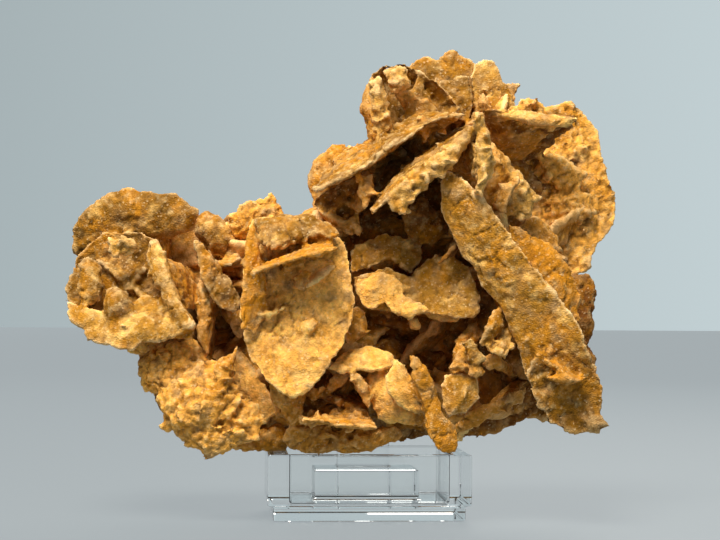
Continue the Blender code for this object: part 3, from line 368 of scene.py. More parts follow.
# Slanting plates at the top left, seen on their edges
UPPER_LEFT = [
    ("low_diagonal", "dun", ledge([(1, 81.5), (5, 85), (9, 88.8), (14, 93.4), (19, 97.2), (24, 100.8),
     (30.5, 106)], -35, (-1, 28, 2)), 4.6),
    ("low_diagonal_crust", "cream", face([(6, 84.5), (9, 90), (14, 95), (19.5, 99), (25, 103), (29.5, 104.5),
     (27, 99), (20.5, 93), (16, 88.3), (13, 85.3), (10.5, 84), (8.3, 80.3)], -34, (0.1, -0.1)), 4),
    ("high_diagonal", "dun", ledge([(-14.5, 87.2), (-9, 90.3), (-3, 93), (1, 95.2), (6, 99.2), (11, 102.2),
     (16, 106), (21, 108.4), (27, 109)], -30, (-2, 32, 3)), 2.8),
    ("high_underside", "brown", face([(-14, 86), (-9, 89), (-3, 92), (1, 94), (2, 88), (0, 83), (-4, 80),
     (-9, 79.5), (-12.5, 81.5), (-15, 84)], -17, (0, -0.4)), 4, 3),
    ("under_knobs", "ochre", face([(-13, 82), (-9, 82), (-6, 80), (-2, 81), (-1.5, 77.5), (-5, 76),
     (-9, 77)], -16), 6),
    ("under_curtain", "ochre", face([(-2, 92), (1.5, 93), (2, 87), (0.5, 84), (-1, 82.6), (-2.3, 86)], -25,
     (0.4, 0)), 3),
    ("upper_slip", "ochre", ledge([(-9.5, 92.6), (-5, 95.2), (0, 97.9), (3, 99)], -22, (-1, 22, 2)), 2.4),
    ("left_wing", "ochre", face([(-16, 92.5), (-14.5, 96.5), (-11.5, 98.6), (-9.5, 100.6), (-7, 101),
     (-4.2, 100), (-2, 98.3), (1, 98), (3, 92), (-2, 86), (-9, 81), (-14.5, 82), (-15.8, 88)], -2, (0, 0.1)),
     6),
    ("chin", "ochre", face([(-20, 80.5), (-15.5, 83.3), (-11, 82), (-11, 76), (-18, 76)], -8), 6),
    ("column", "cream", face([(0.8, 118), (3, 119.3), (4.5, 115.5), (5.5, 110), (6.3, 105), (7.5, 101.8),
     (5, 99), (3, 99), (2.3, 104), (1.2, 110)], -10, (0.9, 0)), 5),
    ("column_back", "ochre", face([(1, 119), (-1, 115.5), (-1.9, 112), (-1, 108), (0.3, 105), (0.5, 100),
     (4, 98), (6, 108), (4, 117)], 0, (0.5, 0)), 6),
    ("bowl", "dun", face([(0.6, 120), (3.5, 122), (7, 122.4), (10, 123), (13, 121.3), (16, 119.6), (20, 117),
     (23, 113.8), (25.5, 110.5), (22, 106), (13, 102), (7, 101), (4, 108), (2.5, 115)], 2), 4, 6),
    ("bowl_crust", "cream", face([(4.5, 120.5), (8, 122.3), (11, 120), (12.5, 117), (10, 115.2), (8, 114.4),
     (5.5, 116)], -2, (0, 0.3)), 6),
    ("bowl_nib", "ochre", face([(12.8, 107.8), (15, 108.4), (18.5, 108), (18, 104.5), (14, 105.5)], -15,
     (0.4, 0)), 2.6),
    ("bowl_nib_low", "ochre", face([(14, 105), (17, 106), (17.5, 102.6), (14.8, 101.9)], -24), 3),
    ("crest_back", "dun", face([(10, 120), (12, 122.5), (14.5, 124), (16.5, 125), (18.5, 124), (20.5, 125),
     (22, 126.6), (24.5, 126.4), (26, 124.3), (28.5, 123.6), (30.5, 123), (30, 118), (30, 112), (27, 104),
     (18, 102), (12, 110)], 14, (0, 0.2)), 4),
    ("crest_front", "dun", face([(19, 118), (24, 119), (28, 119.8), (27.5, 117.2), (29, 115.5),
     (29.3, 110.5), (27, 106), (21, 110)], 8, (0, 0.2)), 3),
    ("crest_right", "sand", face([(28.5, 119), (29.5, 122.5), (32, 124), (34.3, 124), (36, 121.3),
     (36.8, 118.3), (38.6, 117.3), (40, 115), (40.5, 112.5), (41, 110), (37, 104), (30, 103), (28.8, 111)],
     11, (0.2, 0.1)), 3.6),
    ("crest_fin", "ochre", face([(37, 117), (41.9, 117.3), (40.6, 114.6), (40.5, 110), (36, 109)], 16), 2.6),
    ("crest_chip", "ochre", face([(30.2, 112.5), (31.5, 115.3), (33, 113), (34.5, 110), (31, 109)], 3), 4),
]
# Upper right, a broad crystal facing the front under a shelf
UPPER_RIGHT = [
    ("right_disc", "crumb", face([(34, 104), (38, 111), (43, 113.4), (46, 112.6), (50, 111.6), (55, 112),
     (57.5, 111.4), (60, 109), (63, 105), (64.2, 100), (65, 94.5), (66.6, 90), (68.2, 86), (68.2, 82),
     (67, 78), (64, 74.8), (62, 70.5), (60, 66.3), (56, 64), (51, 68), (45, 76), (38, 86), (33, 95)], 6,
     (0.15, 0.12)), 5, 2),
    ("right_shelf", "brown", face([(31, 110.5), (36, 110.2), (42, 110), (48, 108.9), (54, 108.9), (58, 108),
     (55.3, 105), (50.5, 100.8), (46.5, 97.3), (40.5, 97), (36, 99.5), (33, 104)], -6, (0, -1.3)), 3),
    ("shelf_crust", "tan", face([(33, 110.3), (42, 110), (50, 108.8), (57.8, 108), (55.5, 105.3),
     (50, 105.8), (46, 105.5), (40, 107.5), (35, 108)], -12, (0.05, -0.4)), 3.4),
    ("disc_crust_high", "crumb", face([(46, 97), (52, 98.5), (56, 96), (60.5, 93), (58, 88.5), (53, 87.5),
     (49, 90)], 3, (0.1, 0)), 2.6),
    ("disc_crust_low", "crumb", face([(49, 86), (55, 88), (61, 87.5), (62.5, 82), (58, 78.5), (51, 79)], 3,
     (0.1, 0)), 2.6),
]
# Thin crystal between the crown and the right lobe, seen on its edge
SPINES = [
    ("spine", "cream", face([(28.8, 110), (31.3, 109.5), (32.6, 105), (33.6, 101.5), (33.2, 99),
     (34.2, 95.5), (33.6, 92), (32, 89), (31.3, 85.5), (30, 89), (30.8, 94), (29.8, 99), (29.5, 104)], -36,
     (0.6, 0)), 4),
    ("spine_crust", "cream", face([(28, 101.5), (31, 101), (32.4, 96), (31.3, 91), (28.8, 91.2), (29.4, 96)],
     -32, (0.3, 0)), 5),
]
# Ridges and fans that overlap below the broad crystal
RIDGES_AND_BLADE = [
    ("second_ridge", "ochre", face([(33, 101.6), (36, 99.8), (39, 96.5), (41, 93.6), (39, 91), (36, 88),
     (33, 86), (32, 93)], -22, (0.4, 0.1)), 4),
    ("branch_crust", "cream", face([(38, 93.3), (41, 93.8), (43.5, 90.8), (46.8, 86.8), (47, 85),
     (45.4, 83.2), (45.8, 81), (43, 79.5), (40, 80.5), (38, 83), (37, 88)], -21, (0.2, 0.1)), 6),
    ("branch_arm", "ochre", face([(41.5, 92.6), (39.5, 91.2), (36.8, 89.5), (35.5, 86.5), (34, 84.5),
     (36, 81.5), (38, 81), (38.2, 84), (39.5, 88), (42, 90)], -27, (0.2, 0)), 4),
    ("third_ridge", "ochre", face([(44, 81.2), (47, 81), (50, 78.5), (52, 75.5), (53.5, 71), (50, 70),
     (45, 73), (40, 78)], -13, (0.3, 0)), 4),
    ("amber_fan", "amber", face([(38, 79.5), (42, 78), (46, 76), (50, 73.8), (53, 70.5), (56, 66),
     (57.6, 62), (58.7, 58), (57.4, 55.5), (58.3, 53), (55, 51), (49, 56), (43, 65), (38, 73)], -22,
     (0.3, 0.1)), 4),
    ("rear_fan", "brown", face([(56, 66), (60, 66.2), (62.4, 63), (62.6, 59), (61.2, 56), (62.2, 50.5),
     (61.3, 48), (59.5, 45), (54, 46), (52, 56)], 0, (0.1, 0)), 5),
    # Great slanting blade at the right and its broken foot
    ("great_blade", "sand", face([(19.5, 91), (22.5, 93.5), (27, 91), (30, 88.2), (35, 82), (41, 74),
     (46, 67), (51, 61), (54, 57.5), (57, 53.2), (59, 49), (60, 45.5), (56, 41), (50, 37), (45, 34.5),
     (43, 39), (41, 46), (39, 50), (36.5, 56), (31, 62), (28.5, 68), (26, 70), (24, 74.5), (21, 80),
     (19.8, 85)], -31, (-0.3, -0.22)), 3.6),
    ("blade_foot", "dun", face([(46, 44), (50, 45.5), (55, 46.5), (60, 45.8), (62, 42), (64, 37), (64.6, 33),
     (64, 28.5), (62.5, 26.5), (60, 23), (57, 21.5), (54, 22.5), (50, 25.5), (47, 29), (44.5, 34),
     (43.5, 39)], -31, (-0.1, -0.1)), 4.4, 2),
    ("blade_toe", "dun", face([(60, 29.5), (63, 28.6), (66.2, 24.3), (63.5, 22), (60, 22.8), (58, 26)], -31,
     (-0.1, 0)), 4.6),
    ("pocket_plate_high", "amber", ledge([(48, 42.3), (52, 40), (56.5, 36.3)], -37, (1, 9, 1)), 2),
    ("pocket_plate_low", "amber", ledge([(48.5, 37.4), (53, 37), (57, 36), (60, 37.2)], -37, (0, 9, 0)),
     2.4),
]
# Low middle, with the arch and the spike
LOW_MIDDLE = [
    ("arch_top", "tan", face([(-10, 39.5), (-7, 43.5), (-5, 44.8), (0, 45.2), (4.5, 44.7), (8, 42.5),
     (9.5, 41), (6, 39.5), (2, 38.5), (-3, 39), (-6.5, 38.3)], -26, (0, 1.1)), 3),
    ("arch_left", "ochre", face([(-16.5, 32), (-12, 34.5), (-8, 37.5), (-4.5, 39), (-4, 36.8), (-8, 33.5),
     (-11.5, 31), (-15, 30)], -22, (-0.3, 0)), 3),
    ("arch_right", "ochre", face([(-5, 39.5), (-2, 38.5), (0.8, 35.5), (2, 32), (0.8, 28.3), (-1.5, 31.5),
     (-3, 35)], -28, (0.2, 0)), 3),
    ("tan_face", "tan", face([(5, 37.5), (7.5, 41.5), (10.5, 41.3), (12, 37), (14, 32), (15.5, 28), (14, 27),
     (11, 28), (8, 30), (6, 33)], -31, (0.15, 0.15)), 3.6),
    ("crust_pier", "tan", face([(0, 37), (3, 40), (6, 38.5), (6.5, 34), (8.5, 30.5), (12, 28.5),
     (15.5, 27.5), (15.5, 25), (12, 23.8), (8, 24.2), (4, 25.3), (1.8, 28), (1.3, 32)], -25, (0, 0.1)), 8),
    ("low_shelf", "ochre", ledge([(-17.5, 25.3), (-13, 25.6), (-8, 24.3), (-3, 24), (3.5, 23.6)], -36,
     (0, 24, 3)), 2.6),
    ("inner_shelf", "brown", ledge([(-11, 31), (-6, 29.5), (-3, 28), (1, 27)], -24, (0, 14, 3)), 2),
    ("bottom_crust", "ochre", face([(-21, 24), (-12, 24), (-5, 23), (2, 22.6), (8, 24), (10.5, 22), (9, 20),
     (6.5, 19.3), (3.5, 18.4), (0, 17.3), (-4, 16.8), (-10, 16.6), (-16, 16.6), (-20, 17.2), (-22.5, 20)],
     -20, (0, -0.4)), 6),
    ("spike", "amber", face([(11.8, 43.5), (13.3, 43.3), (15.5, 41.5), (17.5, 37.5), (19.3, 33.5),
     (20.7, 29.5), (21.7, 26), (24.2, 24.3), (24.8, 21), (24.8, 17.3), (22.8, 16.6), (21, 17), (18.7, 18.8),
     (17, 21.5), (16, 25), (15.5, 29), (14, 34), (12.3, 37.5)], -37, (0.4, 0.05)), 4.4),
    ("tan_wedge", "sand", face([(20, 35), (21.5, 38), (25, 38.7), (30, 37.5), (31, 34.5), (31.6, 31.6),
     (28.5, 28.7), (25, 27), (22, 26), (20.8, 30)], -28, (0.1, 0.1)), 4),
]
# Small petals beside the spike
PETALS = [
    ("petal_low", "ochre", face([(22.5, 39), (24.5, 44.5), (27.5, 47), (28.7, 43), (27.5, 38)], -28,
     (0.4, 0)), 3),
    ("petal_middle", "dun", face([(26, 46.5), (29, 47.5), (31, 44.6), (32.8, 42), (30, 40), (27.5, 41.5)],
     -31, (0.3, 0.1)), 2.6),
    ("petal_right", "ochre", face([(28, 42), (31, 42), (32.8, 38.8), (30, 36.8), (27.5, 38)], -30,
     (0.2, 0.2)), 3),
    ("petal_tall", "dun", face([(30, 45.5), (32, 50), (33.5, 54), (36.5, 57.5), (37.6, 53.5), (35.8, 49),
     (33, 45)], -29, (0.5, 0)), 3),
    ("petal_back", "ochre", face([(23, 44), (26, 50), (30, 53), (32, 49), (28, 43)], -18, (0.2, 0.2)), 3),
    ("chip_shelf", "cream", face([(33, 45.4), (36, 46.9), (40.8, 46.4), (39, 44.4), (36, 43.4), (34, 44.1)],
     -29, (0, 1.4)), 2.2),
    ("chip_low", "ochre", face([(31.5, 43), (34, 44), (37, 43.8), (36.5, 40.5), (34, 39.4), (31.5, 40)], -25,
     (0, 0.3)), 3.4),
]
# What closes the cluster below the great blade
UNDERCROFT = [
    ("undercroft", "brown", face([(20, 21.3), (24, 25), (31, 29.5), (38, 33), (44, 36.5), (46.5, 33),
     (47.5, 28), (44, 26.3), (41, 25), (38, 22.4), (35, 21.8), (30, 21.3), (26, 21)], 2, (0, 0.3)), 5),
    ("undercroft_rim", "ochre", face([(22, 22.5), (28, 28), (32, 30), (38, 32), (44, 35), (43, 31),
     (37, 28.3), (33, 26), (31, 24), (26, 22.3)], -14, (0, -0.6)), 3),
]

GROUPS = (
    ("left_lobe", LEFT_LOBE),
    ("foot_lobe", LOWER_LEFT),
    ("tongue_cluster", TONGUE),
    ("middle_plates", SPLIT_PLATES),
    ("crown", UPPER_LEFT),
    ("right_lobe", UPPER_RIGHT),
    ("crown", SPINES),
    ("right_lobe", RIDGES_AND_BLADE),
    ("base_cluster", LOW_MIDDLE),
    ("middle_plates", PETALS),
    ("base_cluster", UNDERCROFT),
)
CRYSTALS = [
    (name, cluster, tone, loop, thickness, *(dish or [0]))
    for cluster, rows in GROUPS
    for name, tone, loop, thickness, *dish in rows
]

# Intergrown middle of each lobe: cluster, centre (x, y, z), radii, and how many rear crystals stand on it
CORES = (
    ("left_lobe", (-63, 1, 66), (13, 14, 15), 12),
    ("foot_lobe", (-44, 0, 34), (13, 14, 12), 9),
    ("tongue_cluster", (-20, 5, 56), (19, 16, 19), 10),
    ("left_lobe", (-42, 6, 60), (13, 11, 13), 6),
    ("middle_plates", (12, 12, 62), (19, 14, 20), 8),
    ("base_cluster", (2, 6, 34), (29, 15, 14), 10),
    ("right_lobe", (38, 6, 60), (17, 15, 24), 12),
    ("crown", (30, 10, 90), (22, 13, 15), 11),
    ("crown", (8, 8, 92), (12, 14, 13), 7),
    ("tongue_cluster", (-20, -12, 60), (10, 13, 15), 5),
    ("right_lobe", (30, -13, 79), (7, 14, 9), 4),
    ("right_lobe", (42, -13, 60), (8, 14, 11), 6),
    ("right_lobe", (52.5, -12, 41), (8, 14, 10), 7),
    ("crown", (22, -10, 97), (7, 13, 6), 4),
    ("middle_plates", (26, 14, 45), (14, 11, 12), 0),
    ("tongue_cluster", (-36, 3, 71), (6, 8, 8), 0),
    ("crown", (-7, 5, 77), (7, 9, 7), 0),
    ("base_cluster", (43, 4, 37), (7, 8, 6), 0),
    ("foot_lobe", (-27, 2, 25), (7, 8, 6), 0),
)
REAR_TONES = ("ochre", "tan", "ochre", "brown")

# Each cluster: voxel size of its fused mesh, in millimetres
CLUSTERS = {
    "left_lobe": 0.58,
    "foot_lobe": 0.5,
    "tongue_cluster": 0.51,
    "middle_plates": 0.5,
    "base_cluster": 0.55,
    "crown": 0.61,
    "right_lobe": 0.62,
    "rear_left": 1.25,
    "rear_middle": 1.25,
    "rear_right": 1.25,
}


def seen(x, z, y):
    """Frame point, in millimetres, of what the front view shows at (x, z) when it lies at depth y."""
    grow = (VIEW_DISTANCE + y) / VIEW_DISTANCE
    return Vector((x * grow, y, VIEW_HEIGHT + (z - VIEW_HEIGHT) * grow))


def in_view(point):
    """(x, z) of a frame point in the front view."""
    grow = (VIEW_DISTANCE + point.y) / VIEW_DISTANCE
    return point.x / grow, VIEW_HEIGHT + (point.z - VIEW_HEIGHT) / grow


def encloses(rim, x, z):
    """True if the point (x, z) lies inside the closed outline."""
    inside = False
    for (x1, z1, _), (x2, z2, _) in zip(rim, rim[1:] + rim[:1]):
        if (z1 > z) != (z2 > z) and x < x1 + (z - z1) * (x2 - x1) / (z2 - z1):
            inside = not inside
    return inside


def outline_of(loop):
    """An outline with its extent in the front view and its mean depth."""
    across, up, depths = zip(*loop)
    return loop, min(across), max(across), min(up), max(up), sum(depths) / len(depths)


OUTLINES = [outline_of(row[3]) for row in CRYSTALS]


def hidden(point):
    """True if a front crystal hides the point in the front view."""
    x, z = in_view(point)
    for loop, left, right, low, high, depth in OUTLINES:
        if left < x < right and low < z < high and depth < point.y + HIDE_MARGIN and encloses(loop, x, z):
            return True
    return False


def behind_outline(point, middle):
    """The point, drawn towards the middle until some front crystal hides it in the front view."""
    for _ in range(DRAW_STEPS):
        if hidden(point):
            break
        point = middle + (point - middle) * DRAW_IN
    return point


def loop_normal(points, middle):
    """Unit normal of a loop of points."""
    total = Vector((0, 0, 0))
    for a, b in zip(points, points[1:] + points[:1]):
        total += (a - middle).cross(b - middle)
    return total.normalized()


def rear_crystals():
    """Loops of the crystals at the back and sides, which stand out from each lobe's middle."""
    chance = random.Random(REAR_SEED)
    found = []
    for _, middle, radii, count in CORES:
        middle, radii = Vector(middle), Vector(radii)
        for i in range(count):
            turn = 2 * math.pi * (i + REAR_TURN_SPREAD * chance.random()) / count
            rise = chance.uniform(*REAR_RISE)
            around = math.sqrt(1 - rise * rise)
            out = Vector((around * math.cos(turn), rise, around * math.sin(turn)))
            seat = middle + Vector([out[k] * radii[k] for k in range(3)]) * REAR_SEAT
            side = out.orthogonal().normalized()
            side.rotate(Matrix.Rotation(chance.uniform(0, math.pi), 3, out))
            size = sum(radii) / 3
            reach, half = size * chance.uniform(*REAR_REACH), size * chance.uniform(*REAR_HALF)
            points = []
            for j in range(REAR_CORNERS):
                angle = 2 * math.pi * j / REAR_CORNERS
                ragged = chance.uniform(*REAR_RAGGED)
                point = seat + (out * reach * math.cos(angle) + side * half * math.sin(angle)) * ragged
                points.append(behind_outline(point, middle))
            found.append((middle.x, points, chance.uniform(*REAR_THICKNESS)))
    return found


def web_loops(points):
    """Loops of the crystals that carry a front plate, running back from it to the core behind it."""
    middle = sum(points, Vector()) / len(points)
    span = max(points, key=lambda p: (p - middle).length)
    along = span - middle
    normal = loop_normal(points, middle)
    across = normal.cross(along).normalized()
    width = max(abs((p - middle).dot(across)) for p in points)
    aside = Vector((1, WEB_DEPTH_WEIGHT, 1))
    centre = min((Vector(core[1]) for core in CORES), key=lambda c: ((c - middle) * aside).length)
    back = centre - middle
    back.y = max(back.y, WEB_LEAST_BACK)
    for share, direction in zip(WEB_SPANS, (along, across * width)):
        tips = [behind_outline(middle + direction * way * share, middle) for way in (1, -1)]
        ends = [middle + back * WEB_REACH + direction * way * WEB_TAPER for way in (-1, 1)]
        bends = [tips[1].lerp(ends[0], WEB_BEND), tips[0].lerp(ends[1], WEB_BEND)]
        yield [tips[0], middle, tips[1], bends[0], ends[0], ends[1], bends[1]]


# Random directions for the noise, and large odd numbers that scatter a grid cell's place over them
NOISE_SEED = 11
GRADIENTS = np.random.default_rng(NOISE_SEED).normal(size=(256, 3))
GRADIENTS /= np.linalg.norm(GRADIENTS, axis=1, keepdims=True)
SCATTER = (73856093, 19349663, 83492791, 1274126177)
NOISE_SEED_SHIFT = 17.31
CELL_SEED_SHIFT = 9.17
NOISE_GAIN = 1.7


def scattered(at):
    """A large number for each grid cell, which looks random and is the same every time."""
    key = (at[:, 0] * SCATTER[0]) ^ (at[:, 1] * SCATTER[1]) ^ (at[:, 2] * SCATTER[2])
    return ((key >> 13) ^ key) * SCATTER[3] & 0x7FFFFFFF


def noise(points, scale, seed=0):
    """Smooth noise from about -1 to 1 at each point, with features about `scale` millimetres long."""
    place = points / scale + seed * NOISE_SEED_SHIFT
    cell = np.floor(place).astype(np.int64)
    part = place - cell
    ease = part ** 3 * (part * (part * 6 - 15) + 10)
    total = np.zeros(len(points))
    for corner in np.ndindex(2, 2, 2):
        at = cell + corner
        pull = GRADIENTS[(scattered(at) >> 9) & 255]
        weight = np.prod(np.where(np.array(corner) == 1, ease, 1 - ease), axis=1)
        total += weight * np.einsum("ij,ij->i", part - np.array(corner), pull)
    return total * NOISE_GAIN


def cells(points, scale, seed=0):
    """Distances to the nearest and second nearest of random points `scale` millimetres apart, over scale."""
    place = points / scale + seed * CELL_SEED_SHIFT
    cell = np.floor(place).astype(np.int64)
    near = np.full(len(points), 9.0)
    second = np.full(len(points), 9.0)
    for step in np.ndindex(3, 3, 3):
        at = cell + step - 1
        key = scattered(at)
        spot = at + np.stack([(key >> shift & 255) / 255 for shift in (3, 11, 19)], 1)
        far = np.linalg.norm(place - spot, axis=1)
        second = np.where(far < near, near, np.minimum(second, far))
        near = np.minimum(near, far)
    return near, second


def layered_noise(points, scale, octaves, seed=0):
    """Sum of noises, each half as long and half as strong as the one before."""
    return sum(noise(points, scale / 2 ** i, seed + i) / 2 ** i for i in range(octaves))


def resampled(points, spacing):
    """Points every `spacing` along a closed loop."""
    ends = np.roll(points, -1, axis=0)
    made = []
    for a, b in zip(points, ends):
        count = max(1, int(np.linalg.norm(b - a) / spacing))
        made.append(a + (b - a) * (np.arange(count) / count)[:, None])
    return np.concatenate(made)


def crystal(points, thickness, dish, seed, rim=RIM_THICKNESS):
    """Vertices, quads and triangles of one crystal: a dished lens of broken layers with a ragged rim."""
    middle = sum(points, Vector()) / len(points)
    normal = loop_normal(points, middle)
    if normal.y > 0:
        normal = -normal
    middle, normal = np.array(middle), np.array(normal)
    edge = resampled(np.array(points), STEP)
    out = edge - middle
    jag = layered_noise(edge, JAG_LENGTH, 3, seed) * JAG - abs(noise(edge, NOTCH_LENGTH, seed)) * NOTCH
    edge = edge + out / np.linalg.norm(out, axis=1, keepdims=True) * jag[:, None]
    rings = max(4, int(np.linalg.norm(out, axis=1).mean() / STEP))
    share = np.linspace(0, 1, rings + 1)[1:, None, None]
    flat = (middle + (edge - middle)[None] * share).reshape(-1, 3)
    bulge = np.repeat(1 - share[:, 0, 0] ** 3, len(edge))
    half = rim / 2 + (thickness - rim) / 2 * bulge
    sides = []
    for way in (1, -1):
        level = layered_noise(flat, LAYER_LENGTH, 4, seed * 3 + way) * LAYER_SWING + bulge * 0.5
        steps = np.clip(np.floor(level * LAYER_STEPS), *LAYER_RANGE)
        relief = steps * LAYER * np.minimum(1, bulge * RIM_LAYERED_FROM)
        sides.append(flat + normal * (way * (half + relief) - dish * bulge)[:, None])
    tips = [middle + normal * (way * thickness / 2 - dish) for way in (1, -1)]
    verts = np.concatenate([sides[0], sides[1], np.array(tips)])
    count, total = len(edge), len(flat)
    here = np.arange(count)
    beside = (here + 1) % count
    quads, triangles = [], []
    for side, way in ((0, 1), (1, -1)):
        base = side * total
        for ring in range(rings - 1):
            low, high = base + ring * count, base + (ring + 1) * count
            quads.append(np.stack([low + here, high + here, high + beside, low + beside], 1)[:, ::way])
        fan = [np.full(count, 2 * total + side), base + here, base + beside]
        triangles.append(np.stack(fan, 1)[:, ::way])
    last = (rings - 1) * count
    quads.append(np.stack([last + here, total + last + here, total + last + beside, last + beside], 1))
    return verts, np.concatenate(quads), np.concatenate(triangles)


def shards(spots, normals, chance):
    """Vertices, quads and triangles of small lens-shaped crystals, one at each spot, turned at random."""
    sides = SHARD_SIDES
    turn = 2 * np.pi * np.arange(sides) / sides
    ring = np.stack([np.cos(turn), np.sin(turn), np.zeros(sides)], 1)
    shape = np.concatenate([ring, [[0, 0, 1], [0, 0, -1]]])
    up = normals + chance.normal(size=(len(spots), 3)) * SHARD_TILT
    up /= np.linalg.norm(up, axis=1, keepdims=True)
    side = np.cross(up, chance.normal(size=(len(spots), 3)))
    side /= np.linalg.norm(side, axis=1, keepdims=True)
    radius = chance.uniform(*SHARD_RADIUS, len(spots))[:, None]
    narrow = radius * chance.uniform(*SHARD_NARROW, radius.shape)
    scale = np.concatenate([radius, narrow, radius * SHARD_THICKNESS[0] + SHARD_THICKNESS[1]], 1)
    bent = shape[None] * scale[:, None] * chance.uniform(*SHARD_UNEVEN, (len(spots), sides + 2, 1))
    frames = np.stack([side, np.cross(up, side), up], 1)
    verts = spots[:, None] + np.einsum("nij,njk->nik", bent, frames)
    here = np.arange(sides)
    beside = (here + 1) % sides
    upper = np.stack([here, beside, np.full(sides, sides)], 1)
    lower = np.stack([beside, here, np.full(sides, sides + 1)], 1)
    firsts = np.arange(len(spots)) * (sides + 2)
    triangles = np.concatenate([upper, lower])[None] + firsts[:, None, None]
    return verts.reshape(-1, 3), np.zeros((0, 4), int), triangles.reshape(-1, 3)


def core_lump(middle, radii, seed):
    """Vertices, quads and triangles of a core, from a stretched and roughened sphere."""
    bm = bmesh.new()
    bmesh.ops.create_uvsphere(bm, u_segments=CORE_SEGMENTS, v_segments=CORE_RINGS, radius=1)
    bmesh.ops.triangulate(bm, faces=bm.faces)
    verts = np.array([v.co[:] for v in bm.verts])
    triangles = np.array([[v.index for v in f.verts] for f in bm.faces])
    bm.free()
    spots = verts * np.array(radii) + np.array(middle)
    bumps = np.floor(layered_noise(spots, CORE_BUMP_LENGTH, 3, seed) * CORE_BUMP_STEPS)
    return spots + verts * bumps[:, None] * CORE_BUMP, np.zeros((0, 4), int), triangles


def mesh_of(name, parts):
    """One mesh, in metres, of many (vertices, quads, triangles)."""
    verts, quads, triangles = [], [], []
    start = 0
    for spots, fours, threes in parts:
        verts.append(spots)
        quads.append(fours + start)
        triangles.append(threes + start)
        start += len(spots)
    verts, quads, triangles = np.concatenate(verts), np.concatenate(quads), np.concatenate(triangles)
    mesh = bpy.data.meshes.new(name)
    mesh.vertices.add(len(verts))
    mesh.vertices.foreach_set("co", (verts * MM).ravel())
    mesh.loops.add(quads.size + triangles.size)
    mesh.loops.foreach_set("vertex_index", np.concatenate([quads.ravel(), triangles.ravel()]))
    mesh.polygons.add(len(quads) + len(triangles))
    starts = np.concatenate([np.arange(len(quads)) * 4, quads.size + np.arange(len(triangles)) * 3])
    mesh.polygons.foreach_set("loop_start", starts)
    mesh.update(calc_edges=True)
    return mesh


def vertex_array(mesh, field="co"):
    """The mesh's vertex positions or normals, positions in millimetres."""
    values = np.zeros(len(mesh.vertices) * 3)
    mesh.vertices.foreach_get(field, values)
    return values.reshape(-1, 3) / (MM if field == "co" else 1)


def neighbours_mean(values, pairs, counts):
    """Mean of each vertex's neighbours, along the mesh's edges."""
    total = np.zeros_like(values)
    for k in range(values.shape[1]):
        total[:, k] = np.bincount(pairs[:, 0], values[pairs[:, 1], k], len(values))
        total[:, k] += np.bincount(pairs[:, 1], values[pairs[:, 0], k], len(values))
    return total / counts[:, None]


def standing_out(mesh, passes):
    """How far each vertex stands out of its surroundings, in millimetres, averaged over a few passes."""
    pairs = np.zeros(len(mesh.edges) * 2, dtype=np.int64)
    mesh.edges.foreach_get("vertices", pairs)
    pairs = pairs.reshape(-1, 2)
    counts = np.bincount(pairs.ravel(), minlength=len(mesh.vertices)).clip(1)
    spots = vertex_array(mesh)
    smooth = spots
    for _ in range(passes):
        smooth = neighbours_mean(smooth, pairs, counts)
    return np.einsum("ij,ij->i", spots - smooth, vertex_array(mesh, "normal"))


def clear_of_stand(spots):
    """The points, with those that would be inside the stand raised onto its rim or its post."""
    cos, sin = math.cos(-STAND_YAW), math.sin(-STAND_YAW)
    across = spots[:, 0] * cos - spots[:, 1] * sin
    along = spots[:, 0] * sin + spots[:, 1] * cos
    over_ring = (abs(across) < RING_SIZE[0] / 2 + REST_GAP) & (abs(along) < RING_SIZE[1] / 2 + REST_GAP)
    over_post = abs(across) < POST_HIGH[0] / 2 + REST_GAP
    over_post &= abs(along - POST_BACK) < POST_HIGH[1] / 2 + REST_GAP
    spots = spots.copy()
    spots[over_ring, 2] = np.maximum(spots[over_ring, 2], RING_TOP + REST_GAP)
    spots[over_post, 2] = np.maximum(spots[over_post, 2], POST_HIGH[2] + REST_GAP)
    return spots


def fused(name, parts, voxel):
    """An object whose mesh is the parts' outer surface, remade in small even faces."""
    raw = mesh_of(f"{name}_raw", parts)
    item = bpy.data.objects.new(name, raw)
    bpy.context.scene.collection.objects.link(item)
    remesh = item.modifiers.new("Fuse", "REMESH")
    remesh.mode = "VOXEL"
    remesh.voxel_size = voxel * MM
    graph = bpy.context.evaluated_depsgraph_get()
    mesh = bpy.data.meshes.new_from_object(item.evaluated_get(graph))
    item.modifiers.clear()
    item.data = mesh
    bpy.data.meshes.remove(raw)
    mesh.name = name
    return item


def kinds_of(item, samples):
    """Index of the kind of surface that each vertex lies on, with wandering borders."""
    tree = KDTree(len(samples))
    for i, (spot, _) in enumerate(samples):
        tree.insert(spot, i)
    tree.balance()
    kinds = np.array([KINDS.index(kind) for _, kind in samples])
    spots = vertex_array(item.data)
    wander = np.stack([noise(spots, WANDER_LENGTH, k) for k in WANDER_SEEDS], 1) * BORDER_WANDER
    return kinds[[tree.find(spot)[1] for spot in spots + wander]]


def patches(spots, length, octaves, seed, strength, offset):
    """A share for each point, which rises and falls in patches."""
    return layered_noise(spots, length, octaves, seed) * strength + offset


def shaken(spots, length, reach, seed):
    """The points, moved a little, so that the cells found from them have crooked borders."""
    return spots + noise(spots, length, seed)[:, None] * reach


